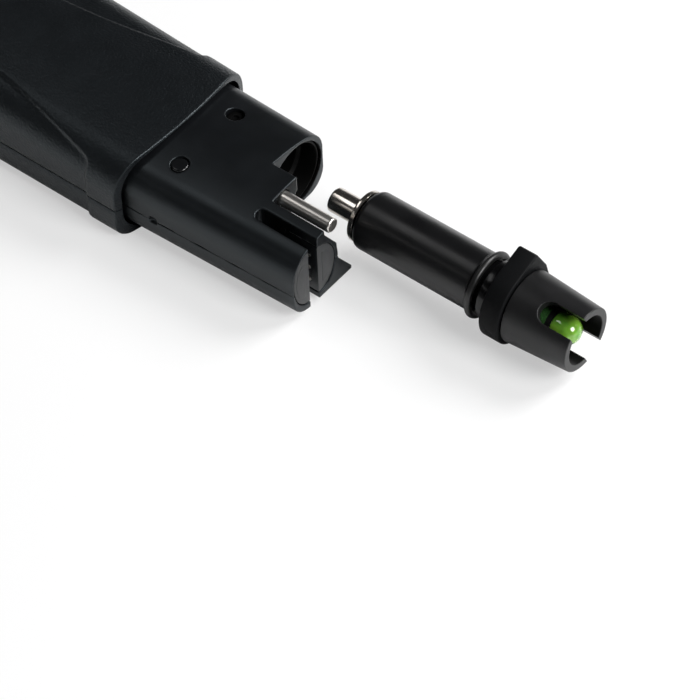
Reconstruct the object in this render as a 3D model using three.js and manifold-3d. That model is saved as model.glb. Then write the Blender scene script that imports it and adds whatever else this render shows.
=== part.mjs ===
// Handheld water tester with a plug-in electrode, lying on its front face with the electrode pulled out.
// Millimetres. X runs from the shoulder towards the probe end, Y across towards the socket side, Z up.
import * as THREE from 'three';
import { mergeVertices } from 'three/addons/utils/BufferGeometryUtils.js';
import Module from 'manifold-3d';

const wasm = await Module();
wasm.setup();

// ---- Driving dimensions ----
const gap = 0.3; // between pieces that seat on each other
const reach = 60; // half-size of a cutting block, past any section of the tester

const bodyLength = 120; // shoulder to the outer end of the battery cover
const bodyWidth = 40; // over the hood
const gripWaist = 0.6; // how far the grip is set in from the hood, each side
const hoodLength = 7.5;
const hoodRamp = 2.5; // from the grip's side out to the hood's
const shoulderBow = 3; // how far the middle of the shoulder stands forward
const hoodHeight = 20.4; // at the shoulder
const bodyHeight = 26; // over the grip
const riseLength = 75; // from the shoulder to the full height
const seamHeight = 8;
const wall = 2;
const topRadius = 8;
const lowRadius = 3.5;
const backCrown = 0.9;

const neckLength = 42.3;
const shoulderStep = 2.65; // hood side to neck side
const neckDrop = 1.4; // hood back to neck back
const neckBottom = 0.95;
const neckSideTaper = 1.25;
const neckBackTaper = 0.3;
const neckTopRadius = 6.3;
const neckCrown = 1.4;
const neckLowRadius = 4.9;
const flangeThickness = 3.5;
const spigotLength = 12;

const electrodeRadius = 6.25;
const ringStand = 0.95; // how far the O-ring stands out of the tube
const ringRadius = electrodeRadius + ringStand;
const ringThickness = 1.5;
const sealClearance = 0.1;
const tubeClearance = 0.25;
const linerWall = 0.4;
const linerRearWall = 0.6;
const linerClearance = 0.25;
const linerStep = 2; // from its wider part to the O-ring's land
const rimWall = 0.55;
const socketRim = 23.3; // X of the mouth
const collarRadius = electrodeRadius + 2.35;
const collarClearance = 0.3;

const webEnd = 29.4;
const webSide = 1.5;
const slotStart = 28.3;
const slotWidth = 2.7;
const outerProng = 5.05; // thickness of the outer prong at its tip
const insertDepth = 8;
const cellPinRadius = 0.5;
const cellPinCount = 3;

const rodRadius = 1.6;
const rodY = -2.9;
const rodDepth = 2.2; // rod centre below the neck's back
const rodClearance = 0.2;
const rodTip = 41.8;
const rodRear = 10;

const screwX = 8.4;
const plugY = -9.2;
const setScrewY = 7.8;
const plugThickness = 1.3;
const screwHole = 2.15;
const plugClearance = 0.15;

const boardThickness = 1.6;
const boardWidth = 31;
const boardTop = 9;
const displayLength = 30;
const displayWidth = 26;
const displayThickness = 2.6;
const buttonRadius = 4.4;
const buttonSpacing = 14;
const buttonTravel = 0.5;
const overlayThickness = 0.55;
const overlayRecess = 1;

const cellRadius = 5.8;
const cellThickness = 5.2;
const cellCount = 4;
const trayWall = 1.2;
const contactThickness = 0.5;
const coverLength = 9.6;
const gasketThickness = 0.8;
const coverScrewRadius = 1.3;
const coverScrewHead = 2.3;
const bossLength = 5.2;

// The electrode's own lengths, from the end of its contact pin.
const pinRadius = 2.65;
const pinLength = 6.2;
const ringContactRadius = electrodeRadius - 0.75;
const tubeBoreRadius = electrodeRadius - 1.55;
const collarSeatRadius = electrodeRadius - 0.85; // where the collar sits on the tube
const tubeStart = 8.7;
const ringSeat = 37; // rear side of the O-ring groove
const collarStart = 42;
const collarThickness = 4.4;
const sleeveLength = 14.5;
const sleeveRearRadius = electrodeRadius + 1.55;
const sleeveTipRadius = electrodeRadius + 0.65;
const sleeveBore = electrodeRadius - 0.95;
const windowWidth = 4.7;
const windowLength = 8.6;
const windowTurn = 0.168; // radians, of the window from the collar's flat
const bulbRadius = 3;
const bulbSetback = 1.4; // bulb end behind the sleeve's tip
const bulbStraight = 2.8;
const glassWall = 0.5;
const stemRadius = 2.2;
const restTwist = THREE.MathUtils.degToRad(17.4);
const pulledOut = 51.5; // how far the electrode stands out of its seat

// ---- Places worked out from them ----
const linerRadius = ringRadius + sealClearance + linerWall;
const socketBore = linerRadius + linerClearance;
const linerRearRadius = electrodeRadius + tubeClearance + linerRearWall;
const neckTipHalf = bodyWidth / 2 - shoulderStep - neckSideTaper;
const rimHalf = bodyWidth / 2 - shoulderStep - neckSideTaper * socketRim / neckLength;
const socketY = rimHalf - rimWall - socketBore;
const socketZ = neckBottom + rimWall + socketBore;
const neckTop = hoodHeight - neckDrop;
const collarSeat = socketRim + gap;
const pinEndSeated = collarSeat - collarStart;
const pinEndRest = pinEndSeated + pulledOut;
const electrodeLength = collarStart + collarThickness + gap + sleeveLength;
const linerRear = pinEndSeated - 5;
const sealFrom = pinEndSeated + ringSeat - 2; // where the socket widens for the O-ring
const slotOuter = -neckTipHalf + outerProng;
const slotInner = slotOuter + slotWidth;
const rodCentre = neckTop - neckBackTaper * webEnd / neckLength - rodDepth;
const bodyRear = -bodyLength;
const coverFront = bodyRear + coverLength;
const shellRear = coverFront + gasketThickness + 2 * gap;
const stackWidth = cellCount * cellThickness + (cellCount - 1) * gap;
const trayInner = stackWidth / 2 + contactThickness + 2 * gap;
const trayRear = shellRear + bossLength + gap;
const trayFront = trayRear + 2 * cellRadius + trayWall + 2 * gap;
const cellZ = bodyHeight / 2;
const boardRear = trayFront + 1.4;
const boardFront = linerRear - 4;
const boardLow = boardTop - boardThickness;
const buttonX = boardFront - 11;
const displayX = buttonX - buttonRadius - 3 - displayLength / 2;
const bossInset = 2.8;
const boardScrewY = boardWidth / 2 - 2.6;
const boardScrewPlaces = [
  [boardFront - bossInset, -boardScrewY],
  [boardRear + bossInset, boardScrewY],
];

// ---- Materials ----
const surface = (color, roughness, metalness = 0) =>
  new THREE.MeshStandardMaterial({ color, roughness, metalness });
const shellBlack = surface(0x16181a, 0.6);
const housingBlack = surface(0x131517, 0.5);
const insertGrey = surface(0x3a3b3c, 0.55);
const tubeBlack = surface(0x0e0f10, 0.4);
const rubberBlack = surface(0x0a0a0a, 0.75);
const nickel = surface(0xb9b3aa, 0.22, 1);
const steel = surface(0xa8a49c, 0.35, 1);
const brass = surface(0xb08d45, 0.35, 1);
const boardGreen = surface(0x1d5a35, 0.6);
const chipBlack = surface(0x101010, 0.5);
const displayGlass = surface(0x8e9a8c, 0.25);
const clearGlass = surface(0xd8e4dc, 0.08);
const bulbGreen = surface(0x76c51f, 0.12);
const gelClear = surface(0xd9dcd2, 0.3);
const wickWhite = surface(0xdedbd2, 0.9);
const keyGrey = surface(0x5d6063, 0.6);
const overlayGrey = surface(0x2b2e31, 0.5);
const leadRed = surface(0x7c2018, 0.6);

// ---- Solids from three.js geometries ----
function signedVolume(points, triangles) {
  const [a, b, c] = [new THREE.Vector3(), new THREE.Vector3(), new THREE.Vector3()];
  let total = 0;
  for (let i = 0; i < triangles.length; i += 3) {
    a.fromArray(points, 3 * triangles[i]);
    b.fromArray(points, 3 * triangles[i + 1]);
    c.fromArray(points, 3 * triangles[i + 2]);
    total += a.dot(b.cross(c)) / 6;
  }
  return total;
}

// A closed solid; faces that point inwards are turned round.
function solid(geometry) {
  const bare = geometry.clone();
  bare.deleteAttribute('normal');
  bare.deleteAttribute('uv');
  const merged = mergeVertices(bare, 1e-4);
  const points = Float32Array.from(merged.attributes.position.array);
  const triangles = [];
  for (let i = 0; i < merged.index.count; i += 3) {
    const [a, b, c] = [0, 1, 2].map((k) => merged.index.getX(i + k));
    if (a !== b && b !== c && c !== a) triangles.push(a, b, c);
  }
  if (signedVolume(points, triangles) < 0) triangles.reverse();
  const mesh = new wasm.Mesh({
    numProp: 3,
    vertProperties: points,
    triVerts: Uint32Array.from(triangles),
  });
  return new wasm.Manifold(mesh);
}

const sectionToX = new THREE.Matrix4().makeBasis(
  new THREE.Vector3(0, 1, 0), new THREE.Vector3(0, 0, 1), new THREE.Vector3(1, 0, 0));
const lathedToX = new THREE.Matrix4().makeBasis(
  new THREE.Vector3(0, 0, 1), new THREE.Vector3(1, 0, 0), new THREE.Vector3(0, 1, 0));
const lathedToZ = new THREE.Matrix4().makeRotationX(Math.PI / 2);

function block([x0, x1], [y0, y1], [z0, z1]) {
  const box = new THREE.BoxGeometry(x1 - x0, y1 - y0, z1 - z0);
  return solid(box.translate((x0 + x1) / 2, (y0 + y1) / 2, (z0 + z1) / 2));
}

// A prism along X of a shape drawn in Y and Z.
function prismX(shape, x0, x1) {
  const options = { depth: x1 - x0, bevelEnabled: false, curveSegments: 10 };
  return solid(new THREE.ExtrudeGeometry(shape, options).applyMatrix4(sectionToX).translate(x0, 0, 0));
}

// A body of revolution about X from (distance along X, radius) pairs.
function turnedX(profile, segments = 24) {
  const points = profile.map(([along, radius]) => new THREE.Vector2(radius, along));
  return solid(new THREE.LatheGeometry(points, segments).applyMatrix4(lathedToX));
}

const rodX = (x0, x1, radius, segments = 20) =>
  turnedX([[x0, 0], [x0, radius], [x1, radius], [x1, 0]], segments);

const tubeX = (x0, x1, inner, outer, segments = 20) =>
  turnedX([[x0, inner], [x0, outer], [x1, outer], [x1, inner], [x0, inner]], segments);

function rodZ(z0, z1, radius, segments = 20) {
  const geometry = new THREE.CylinderGeometry(radius, radius, z1 - z0, segments);
  return solid(geometry.applyMatrix4(lathedToZ).translate(0, 0, (z0 + z1) / 2));
}

// An oval or round body between (x, ring of [y, z] points) sections.
function loft(sections) {
  const count = sections[0].ring.length;
  const points = sections.flatMap(({ x, ring }) => ring.flatMap(([y, z]) => [x, y, z]));
  const triangles = [];
  for (let s = 0; s < sections.length - 1; s += 1) {
    for (let i = 0; i < count; i += 1) {
      const j = (i + 1) % count;
      const [a, b] = [s * count + i, s * count + j];
      const [c, d] = [a + count, b + count];
      triangles.push(a, b, c, b, d, c);
    }
  }
  const last = (sections.length - 1) * count;
  for (let i = 1; i < count - 1; i += 1) {
    triangles.push(0, i + 1, i);
    triangles.push(last, last + i, last + i + 1);
  }
  const geometry = new THREE.BufferGeometry();
  geometry.setAttribute('position', new THREE.Float32BufferAttribute(points, 3));
  geometry.setIndex(triangles);
  return solid(geometry);
}

// A rounded outline in Y and Z, with a slightly crowned upper side.
function outline({ half, low, high, lowR, highR, crown = 0 }, steps = 5) {
  const ring = [];
  const corner = (y, z, radius, from) => {
    for (let i = 0; i <= steps; i += 1) {
      const angle = from + i * Math.PI / 2 / steps;
      ring.push([y + radius * Math.cos(angle), z + radius * Math.sin(angle)]);
    }
  };
  const shoulder = high - crown;
  corner(half - lowR, low + lowR, lowR, -Math.PI / 2);
  corner(half - highR, shoulder - highR, highR, 0);
  for (const share of [0.5, 0, -0.5]) {
    ring.push([share * (half - highR), high - crown * share * share]);
  }
  corner(-half + highR, shoulder - highR, highR, Math.PI / 2);
  corner(-half + lowR, low + lowR, lowR, Math.PI);
  return ring;
}

const at = (piece, x, y, z) => piece.translate([x, y, z]);
const allOf = (pieces) => pieces.reduce((sum, piece) => sum.add(piece));
const above = (z) => block([-2 * reach - bodyLength, 2 * reach], [-reach, reach], [z, z + 2 * reach]);
const below = (z) => block([-2 * reach - bodyLength, 2 * reach], [-reach, reach], [z - 2 * reach, z]);

// ---- The tester's outer form ----
const mix = THREE.MathUtils.lerp;
const gripHalf = bodyWidth / 2 - gripWaist;
const riseAt = (back) => mix(hoodHeight, bodyHeight, back / riseLength);
const stations = [
  { x: bodyRear, half: gripHalf, high: bodyHeight - 1 },
  { x: coverFront, half: gripHalf, high: bodyHeight },
  { x: -riseLength, half: gripHalf, high: bodyHeight },
  { x: -hoodLength - hoodRamp, half: gripHalf, high: riseAt(hoodLength + hoodRamp) },
  { x: -hoodLength, half: bodyWidth / 2, high: riseAt(hoodLength) },
  { x: shoulderBow, half: bodyWidth / 2, high: hoodHeight },
];

function stationAt(x) {
  const next = Math.max(1, stations.findIndex((station) => station.x >= x - 1e-6));
  const [a, b] = [stations[next - 1], stations[next]];
  const share = (x - a.x) / (b.x - a.x);
  return { x, half: mix(a.half, b.half, share), high: mix(a.high, b.high, share) };
}

function bodyRing({ half, high }, inset) {
  return outline({
    half: half - inset,
    low: inset,
    high: high - inset,
    lowR: Math.max(lowRadius - inset, 0.6),
    highR: Math.max(topRadius - inset, 0.6),
    crown: backCrown,
  });
}

function bodyForm(inset, x0, x1) {
  const between = stations.filter(({ x }) => x > x0 + 0.01 && x < x1 - 0.01);
  const used = [stationAt(x0), ...between, stationAt(x1)];
  return loft(used.map((station) => ({ x: station.x, ring: bodyRing(station, inset) })));
}

function neckRing(share, inset) {
  return outline({
    half: bodyWidth / 2 - shoulderStep - neckSideTaper * share - inset,
    low: neckBottom + inset,
    high: neckTop - neckBackTaper * share - inset,
    lowR: Math.max(neckLowRadius - inset, 0.6),
    highR: Math.max(neckTopRadius - inset, 0.6),
    crown: neckCrown,
  });
}

const neckForm = (inset, x0, x1) => loft([x0, x1].map((x) => ({ x, ring: neckRing(x / neckLength, inset) })));
const neckBackAt = (x) => neckTop - neckBackTaper * x / neckLength;
const crownHalf = bodyWidth / 2 - shoulderStep - neckTopRadius;
const neckSurface = (x, y) => neckBackAt(x) - neckCrown * (y / crownHalf) ** 2;

// Everything behind an end that bows forward in the middle, seen in plan.
function behindBow(x) {
  const half = bodyWidth / 2;
  const radius = (half ** 2 + shoulderBow ** 2) / (2 * shoulderBow);
  const sweep = Math.asin((half + 1) / radius);
  const shape = new THREE.Shape();
  shape.absarc(x + shoulderBow - radius, 0, radius, -sweep, sweep, false);
  shape.lineTo(-2 * bodyLength, half + 1);
  shape.lineTo(-2 * bodyLength, -half - 1);
  const options = { depth: 2 * bodyHeight, bevelEnabled: false, curveSegments: 14 };
  return solid(new THREE.ExtrudeGeometry(shape, options).translate(0, 0, -1));
}

// ---- Body shells ----
function bodyShell() {
  const hollow = bodyForm(wall, shellRear - 5, shoulderBow).intersect(behindBow(-wall));
  const neckOpening = neckForm(-gap, -wall - 1, shoulderBow + 1);
  return bodyForm(0, shellRear, shoulderBow).intersect(behindBow(0)).subtract(hollow).subtract(neckOpening);
}

const coverScrewPlaces = [-1, 1].flatMap((side) => [
  { y: side * (gripHalf - wall - 2.9), z: wall + 3.2 },
  { y: side * (gripHalf - wall - 3.4), z: bodyHeight - wall - 4.3 },
]);

function coverBoss({ y, z }) {
  const boss = rodX(shellRear, shellRear + bossLength, 3);
  return at(boss, 0, y, z).intersect(bodyForm(wall / 2, shellRear, shellRear + bossLength));
}

const coverScrewHole = ({ y, z }) =>
  at(rodX(shellRear - 1, shellRear + bossLength + 1, coverScrewRadius + gap, 16), 0, y, z);

function shellWithBosses(places) {
  return allOf([bodyShell(), ...places.map(coverBoss)]).subtract(allOf(places.map(coverScrewHole)));
}

function backShell() {
  const places = coverScrewPlaces.filter(({ z }) => z > seamHeight);
  return shellWithBosses(places).intersect(above(seamHeight + gap / 2));
}

const overlaySpan = [displayX - displayLength / 2 - 3.5, buttonX + buttonRadius + 3.5];
const overlayHalf = bodyWidth / 2 - 5;

function frontShell() {
  const places = coverScrewPlaces.filter(({ z }) => z < seamHeight);
  const posts = boardScrewPlaces.map(([x, y]) => at(rodZ(wall / 2, boardLow - gap, 2.6), x, y, 0));
  const postHoles = boardScrewPlaces.map(([x, y]) => at(rodZ(wall, boardLow + 1, 1.5, 16), x, y, 0));
  const rails = [-1, 1].map((side) => block(
    [trayRear + 1, trayFront - 1],
    [side * (trayInner - 1) - 0.8, side * (trayInner - 1) + 0.8],
    [wall / 2, cellZ - cellRadius - gap - trayWall - gap],
  ));
  const buttons = [-1, 1].map((side) =>
    at(rodZ(-1, wall + 1, buttonRadius + gap), buttonX, side * buttonSpacing / 2, 0));
  const displayOpening = block(
    [displayX - displayLength / 2 + 2, displayX + displayLength / 2 - 2],
    [-displayWidth / 2 + 2, displayWidth / 2 - 2],
    [-1, wall + 1],
  );
  const recess = block(overlaySpan, [-overlayHalf, overlayHalf], [-1, overlayRecess]);
  const cuts = allOf([...postHoles, ...buttons, displayOpening, recess]);
  return allOf([shellWithBosses(places), ...posts, ...rails])
    .subtract(cuts)
    .intersect(below(seamHeight - gap / 2));
}

// ---- Neck: the probe housing in two halves ----
const plugTop = neckSurface(screwX, plugY);

function retainingFlange() {
  const x1 = -wall - gap;
  return bodyForm(wall + gap, x1 - flangeThickness, x1);
}

// What stands past the socket's rim: the web over the rod, then the two prongs.
function pastTheRim() {
  const web = block([socketRim - 1, webEnd], [-reach, webSide], [-1, reach]);
  const top = neckBackAt(neckLength);
  const profile = new THREE.Shape();
  profile.moveTo(-reach, -1);
  profile.lineTo(slotInner + 9.9, -1);
  profile.lineTo(slotInner + 10.1, neckBottom + 0.7);
  profile.lineTo(slotInner + 6.2, top - 11.4);
  profile.lineTo(slotInner + 5.8, top - 6.8);
  profile.lineTo(slotInner + 4.1, top - 4.3);
  profile.lineTo(slotInner + 2.3, top - 1.6);
  profile.lineTo(slotInner + 2, reach);
  profile.lineTo(-reach, reach);
  return web.add(prismX(profile, webEnd - 0.5, neckLength + 1));
}

function cellSlot() {
  const middle = (slotOuter + slotInner) / 2;
  const channel = block([slotStart + slotWidth / 2, neckLength + 1], [slotOuter, slotInner], [-1, reach]);
  return channel.add(at(rodZ(-1, reach, slotWidth / 2), slotStart + slotWidth / 2, middle, 0));
}

// The D-shaped outline of a cell insert: flat on the slot, bulging away from it.
function insertOutline(side, clearance) {
  const face = side < 0 ? slotOuter : slotInner;
  const depth = side < 0 ? outerProng + 1.05 : 6.7;
  const low = neckBottom + 1.7;
  const high = neckBackAt(neckLength) - (side < 0 ? 2.5 : 3.5);
  const shape = new THREE.Shape();
  shape.moveTo(face - side * clearance, low - clearance);
  shape.bezierCurveTo(
    face + side * (depth + clearance), low - clearance,
    face + side * (depth + clearance), high + clearance,
    face - side * clearance, high + clearance,
  );
  shape.lineTo(face - side * clearance, low - clearance);
  return shape;
}

const insertSides = [{ name: 'cell_insert_outer', side: -1 }, { name: 'cell_insert_inner', side: 1 }];

function housing() {
  const spigot = neckForm(1.2, -spigotLength, -wall - gap + 0.1);
  const form = allOf([neckForm(0, -wall - gap, neckLength), retainingFlange(), spigot]);
  const ahead = form.intersect(pastTheRim());
  const behind = form.intersect(block([-reach, socketRim], [-reach, reach], [-reach, reach]));
  const wideBore = rodX(sealFrom - linerStep - gap, reach, socketBore, 36);
  const narrowBore = rodX(-reach, sealFrom - linerStep + gap, linerRearRadius + gap, 36);
  const bore = at(wideBore.add(narrowBore), 0, socketY, socketZ);
  const collarRoom = at(rodX(socketRim, reach, collarRadius + collarClearance, 36), 0, socketY, socketZ);
  const rodHole = at(rodX(rodRear - gap, webEnd + 1, rodRadius + rodClearance, 20), 0, rodY, rodCentre);
  const pockets = insertSides.map(({ side }) =>
    prismX(insertOutline(side, gap), neckLength - insertDepth - gap, neckLength + 1));
  const plugHole = at(rodZ(plugTop - plugThickness - gap, reach, screwHole), screwX, plugY, 0);
  const shankHole = at(rodZ(neckBottom + 3, reach, 1.5, 16), screwX, plugY, 0);
  const setHole = at(rodZ(socketZ, reach, screwHole), screwX, setScrewY, 0);
  const notchDepth = [-reach, -neckTipHalf + 0.6];
  const seamNotch = block([screwX - 1.5, screwX - 0.5], notchDepth, [seamHeight - 1, seamHeight + 1]);
  const cuts = [bore, collarRoom, rodHole, ...pockets, plugHole, shankHole, setHole];
  return ahead.add(behind).subtract(allOf([...cuts, cellSlot(), seamNotch]));
}

const wholeHousing = housing();
const housingBack = () => wholeHousing.intersect(above(seamHeight + gap / 2));
const housingFront = () => wholeHousing.intersect(below(seamHeight - gap / 2));

// ---- Socket ----
function socketSleeve() {
  const tubeBore = electrodeRadius + tubeClearance;
  const sealBore = ringRadius + sealClearance;
  const pinHole = pinRadius + 1.4 + gap;
  return turnedX([
    [linerRear, pinHole],
    [linerRear, linerRearRadius],
    [sealFrom - linerStep, linerRearRadius],
    [sealFrom - linerStep, linerRadius],
    [socketRim - 0.6, linerRadius],
    [socketRim - 0.6, sealBore],
    [sealFrom, sealBore],
    [sealFrom - 0.6, tubeBore],
    [linerRear + 1.5, tubeBore],
    [linerRear + 1.5, pinHole],
    [linerRear, pinHole],
  ], 32);
}

function centreContact() {
  const inner = pinRadius + 0.15;
  const cupEnd = pinEndSeated + pinLength - 1;
  return turnedX([
    [linerRear - 1.5, 0],
    [linerRear - 1.5, inner + 0.8],
    [cupEnd, inner + 0.8],
    [cupEnd, inner],
    [pinEndSeated - 1, inner],
    [pinEndSeated - 1, 0],
  ], 24);
}

function ringContact() {
  const start = pinEndSeated + pinLength + 0.8;
  return tubeX(start, start + 1.2, ringContactRadius + 0.2, electrodeRadius + tubeClearance - gap);
}

// ---- Temperature rod ----
const rodProfile = [
  [rodRear, 0],
  [rodRear, rodRadius],
  [rodTip - 0.5, rodRadius],
  [rodTip, rodRadius - 0.5],
  [rodTip, 0],
];

// ---- Electronics ----
function mainBoard() {
  const board = block([boardRear, boardFront], [-boardWidth / 2, boardWidth / 2], [boardLow, boardTop]);
  const holes = boardScrewPlaces.map(([x, y]) => at(rodZ(boardLow - 1, boardTop + 1, 1.5, 16), x, y, 0));
  return board.subtract(allOf(holes));
}

function headedScrewZ(headRadius, shankRadius, headHeight, length) {
  return rodZ(0, headHeight, headRadius, 20).add(rodZ(-length, 0.1, shankRadius, 16));
}

function frontOverlay() {
  const plate = block(
    [overlaySpan[0] + gap, overlaySpan[1] - gap],
    [-overlayHalf + gap, overlayHalf - gap],
    [overlayRecess - gap - overlayThickness, overlayRecess - gap],
  );
  const buttons = [-1, 1].map((side) =>
    at(rodZ(-1, wall, buttonRadius + gap), buttonX, side * buttonSpacing / 2, 0));
  const view = block(
    [displayX - displayLength / 2 + 3, displayX + displayLength / 2 - 3],
    [-displayWidth / 2 + 3, displayWidth / 2 - 3],
    [-1, wall],
  );
  return plate.subtract(allOf([...buttons, view]));
}

const displayWindow = () => block(
  [displayX - displayLength / 2 + 2 + gap, displayX + displayLength / 2 - 2 - gap],
  [-displayWidth / 2 + 2 + gap, displayWidth / 2 - 2 - gap],
  [overlayRecess, wall],
);

const displayModule = () => block(
  [displayX - displayLength / 2, displayX + displayLength / 2],
  [-displayWidth / 2, displayWidth / 2],
  [wall + gap, wall + gap + displayThickness],
);

const displayStrip = (side) => block(
  [displayX - displayLength / 2 + 1, displayX + displayLength / 2 - 1],
  [side * (displayWidth / 2 - 2) - 1, side * (displayWidth / 2 - 2) + 1],
  [wall + 2 * gap + displayThickness, boardLow - gap],
);

// A key with a rim behind the shell and a plunger that meets its switch.
function button() {
  const cap = rodZ(gap, wall + gap + 0.1, buttonRadius, 24);
  const rim = rodZ(wall + gap, wall + gap + 0.8, buttonRadius + 1, 24);
  return allOf([cap, rim, rodZ(wall + 1, wall + 2.2, 1.4, 16)]);
}

const switchLow = wall + 2.2 + buttonTravel + 0.2;
const tactileSwitch = () => block([-3, 3], [-3, 3], [switchLow, boardLow - gap]);

// A lead of round section along a smooth route.
function lead(points) {
  const route = new THREE.CatmullRomCurve3(points.map((point) => new THREE.Vector3(...point)));
  const round = new THREE.Shape().absarc(0, 0, 0.6, 0, 2 * Math.PI);
  const options = { steps: 10, extrudePath: route, curveSegments: 4, bevelEnabled: false };
  return solid(new THREE.ExtrudeGeometry(round, options));
}

// ---- Batteries ----
function batteryTray() {
  const half = trayInner + trayWall;
  const [low, high] = [cellZ - cellRadius - gap, cellZ + cellRadius + gap];
  const outer = block([trayRear, trayFront], [-half, half], [low - trayWall, high + trayWall]);
  const room = block([trayRear - 1, trayFront - trayWall], [-trayInner, trayInner], [low, high]);
  return outer.subtract(room);
}

const cellPlaces = Array.from({ length: cellCount }, (_, i) =>
  -stackWidth / 2 + cellThickness / 2 + i * (cellThickness + gap));

function buttonCell() {
  const rim = cellRadius - 0.5;
  const half = cellThickness / 2;
  const step = -half + 0.8;
  const profile = [[-half, 0], [-half, rim], [step, rim], [step, cellRadius], [half, cellRadius], [half, 0]];
  const points = profile.map(([along, radius]) => new THREE.Vector2(radius, along));
  return solid(new THREE.LatheGeometry(points, 20));
}

const batteryContact = (side) => block(
  [trayRear + 2, trayFront - trayWall - 2],
  [side * (trayInner - gap - contactThickness / 2) - contactThickness / 2,
    side * (trayInner - gap - contactThickness / 2) + contactThickness / 2],
  [cellZ - 4, cellZ + 4],
);

function batteryCover() {
  const edge = 2.6;
  const ends = [90, 60, 30, 0].map((degrees) => {
    const angle = THREE.MathUtils.degToRad(degrees);
    return { x: bodyRear + edge * (1 - Math.sin(angle)), inset: edge * (1 - Math.cos(angle)) };
  });
  const sections = ends.map(({ x, inset }) => ({ x, ring: bodyRing(stationAt(x), inset) }));
  sections.push({ x: coverFront, ring: bodyRing(stationAt(coverFront), 0) });
  const room = bodyForm(wall, bodyRear + wall + 1.4, coverFront + 0.01);
  const hollow = room.subtract(allOf(coverScrewPlaces.map(({ y, z }) =>
    at(rodX(bodyRear, coverFront, 3.3), 0, y, z))));
  const holes = coverScrewPlaces.flatMap(({ y, z }) => [
    at(rodX(bodyRear - 1, coverFront + 1, coverScrewRadius + gap, 16), 0, y, z),
    at(rodX(bodyRear - 1, bodyRear + 3.2, coverScrewHead + gap, 20), 0, y, z),
  ]);
  return loft(sections).subtract(hollow).subtract(allOf(holes));
}

function coverGasket() {
  const [x0, x1] = [coverFront + gap, coverFront + gap + gasketThickness];
  return bodyForm(0.9, x0, x1).subtract(bodyForm(wall, x0 - 1, x1 + 1));
}

function coverScrew() {
  const head = rodX(bodyRear + 1.2, bodyRear + 2.9, coverScrewHead, 20);
  const shank = rodX(bodyRear + 2.8, shellRear + bossLength - 0.5, coverScrewRadius, 16);
  const slot = block([bodyRear, bodyRear + 1.9], [-coverScrewHead - 1, coverScrewHead + 1], [-0.35, 0.35]);
  return head.add(shank).subtract(slot);
}

// ---- Electrode, drawn along its own axis from the end of the contact pin ----
const contactPin = () => turnedX([
  [0, 0],
  [0, pinRadius - 0.6],
  [0.25, pinRadius - 0.2],
  [0.8, pinRadius],
  [pinLength, pinRadius],
  [pinLength, 0.9],
  [pinLength + 6, 0.9],
  [pinLength + 6, 0],
], 20);

const contactRing = () => turnedX([
  [pinLength + gap, 2.2],
  [pinLength + gap, ringContactRadius - 1.5],
  [pinLength + 1.1, ringContactRadius - 1.3],
  [pinLength + 1.1, ringContactRadius],
  [tubeStart - gap, ringContactRadius],
  [tubeStart - gap, tubeBoreRadius - gap],
  [tubeStart + 2, tubeBoreRadius - gap],
  [tubeStart + 2, 2.2],
  [pinLength + gap, 2.2],
], 24);

const contactInsulator = () => tubeX(pinLength + gap, pinLength + 5.5, 1.2, 1.9, 20);

const grooveRadius = ringRadius - ringThickness - gap;
const electrodeTube = () => turnedX([
  [tubeStart, tubeBoreRadius],
  [tubeStart, electrodeRadius - 1],
  [tubeStart + 0.4, electrodeRadius - 0.3],
  [tubeStart + 1.2, electrodeRadius],
  [ringSeat - 0.9, electrodeRadius],
  [ringSeat - 0.9, ringRadius - 0.3],
  [ringSeat, ringRadius - 0.3],
  [ringSeat, grooveRadius],
  [ringSeat + ringThickness + 2 * gap, grooveRadius],
  [ringSeat + ringThickness + 2 * gap, electrodeRadius + 0.15],
  [collarStart - gap, electrodeRadius + 0.15],
  [collarStart - gap, collarSeatRadius],
  [collarStart + collarThickness, collarSeatRadius],
  [collarStart + collarThickness, tubeBoreRadius],
  [tubeStart, tubeBoreRadius],
], 28);

function oRing() {
  const centre = ringRadius - ringThickness / 2;
  const geometry = new THREE.TorusGeometry(centre, ringThickness / 2, 8, 28);
  return solid(geometry.rotateY(Math.PI / 2).translate(ringSeat + gap + ringThickness / 2, 0, 0));
}

const collarCorner = { u: collarRadius - 1.27, v: collarRadius };
function lockCollar() {
  const shape = new THREE.Shape();
  shape.moveTo(0, collarRadius);
  shape.absarc(0, 0, collarRadius, Math.PI / 2, 2 * Math.PI, false);
  shape.lineTo(collarRadius + 0.1, 2.4);
  shape.lineTo(collarCorner.u, collarCorner.v - 0.5);
  shape.lineTo(collarCorner.u - 0.5, collarCorner.v);
  const collar = prismX(shape, collarStart, collarStart + collarThickness);
  return collar.subtract(rodX(collarStart - 1, collarStart + collarThickness + 1, collarSeatRadius + gap, 32));
}

const sleeveStart = collarStart + collarThickness + gap;
function guardSleeve() {
  const form = turnedX([
    [sleeveStart, stemRadius + gap],
    [sleeveStart, sleeveRearRadius],
    [electrodeLength - 0.3, sleeveTipRadius + 0.1],
    [electrodeLength, sleeveTipRadius - 0.2],
    [electrodeLength, sleeveBore],
    [sleeveStart + 1.4, sleeveBore],
    [sleeveStart + 1.4, stemRadius + gap],
    [sleeveStart, stemRadius + gap],
  ], 32);
  const half = windowWidth / 2;
  const windowEnd = electrodeLength - windowLength + half;
  const window = block([windowEnd, electrodeLength + 1], [-half, half], [-reach, reach])
    .add(at(rodZ(-reach, reach, half), windowEnd, 0, 0));
  return form.subtract(window.rotate([THREE.MathUtils.radToDeg(windowTurn), 0, 0]));
}

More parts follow.
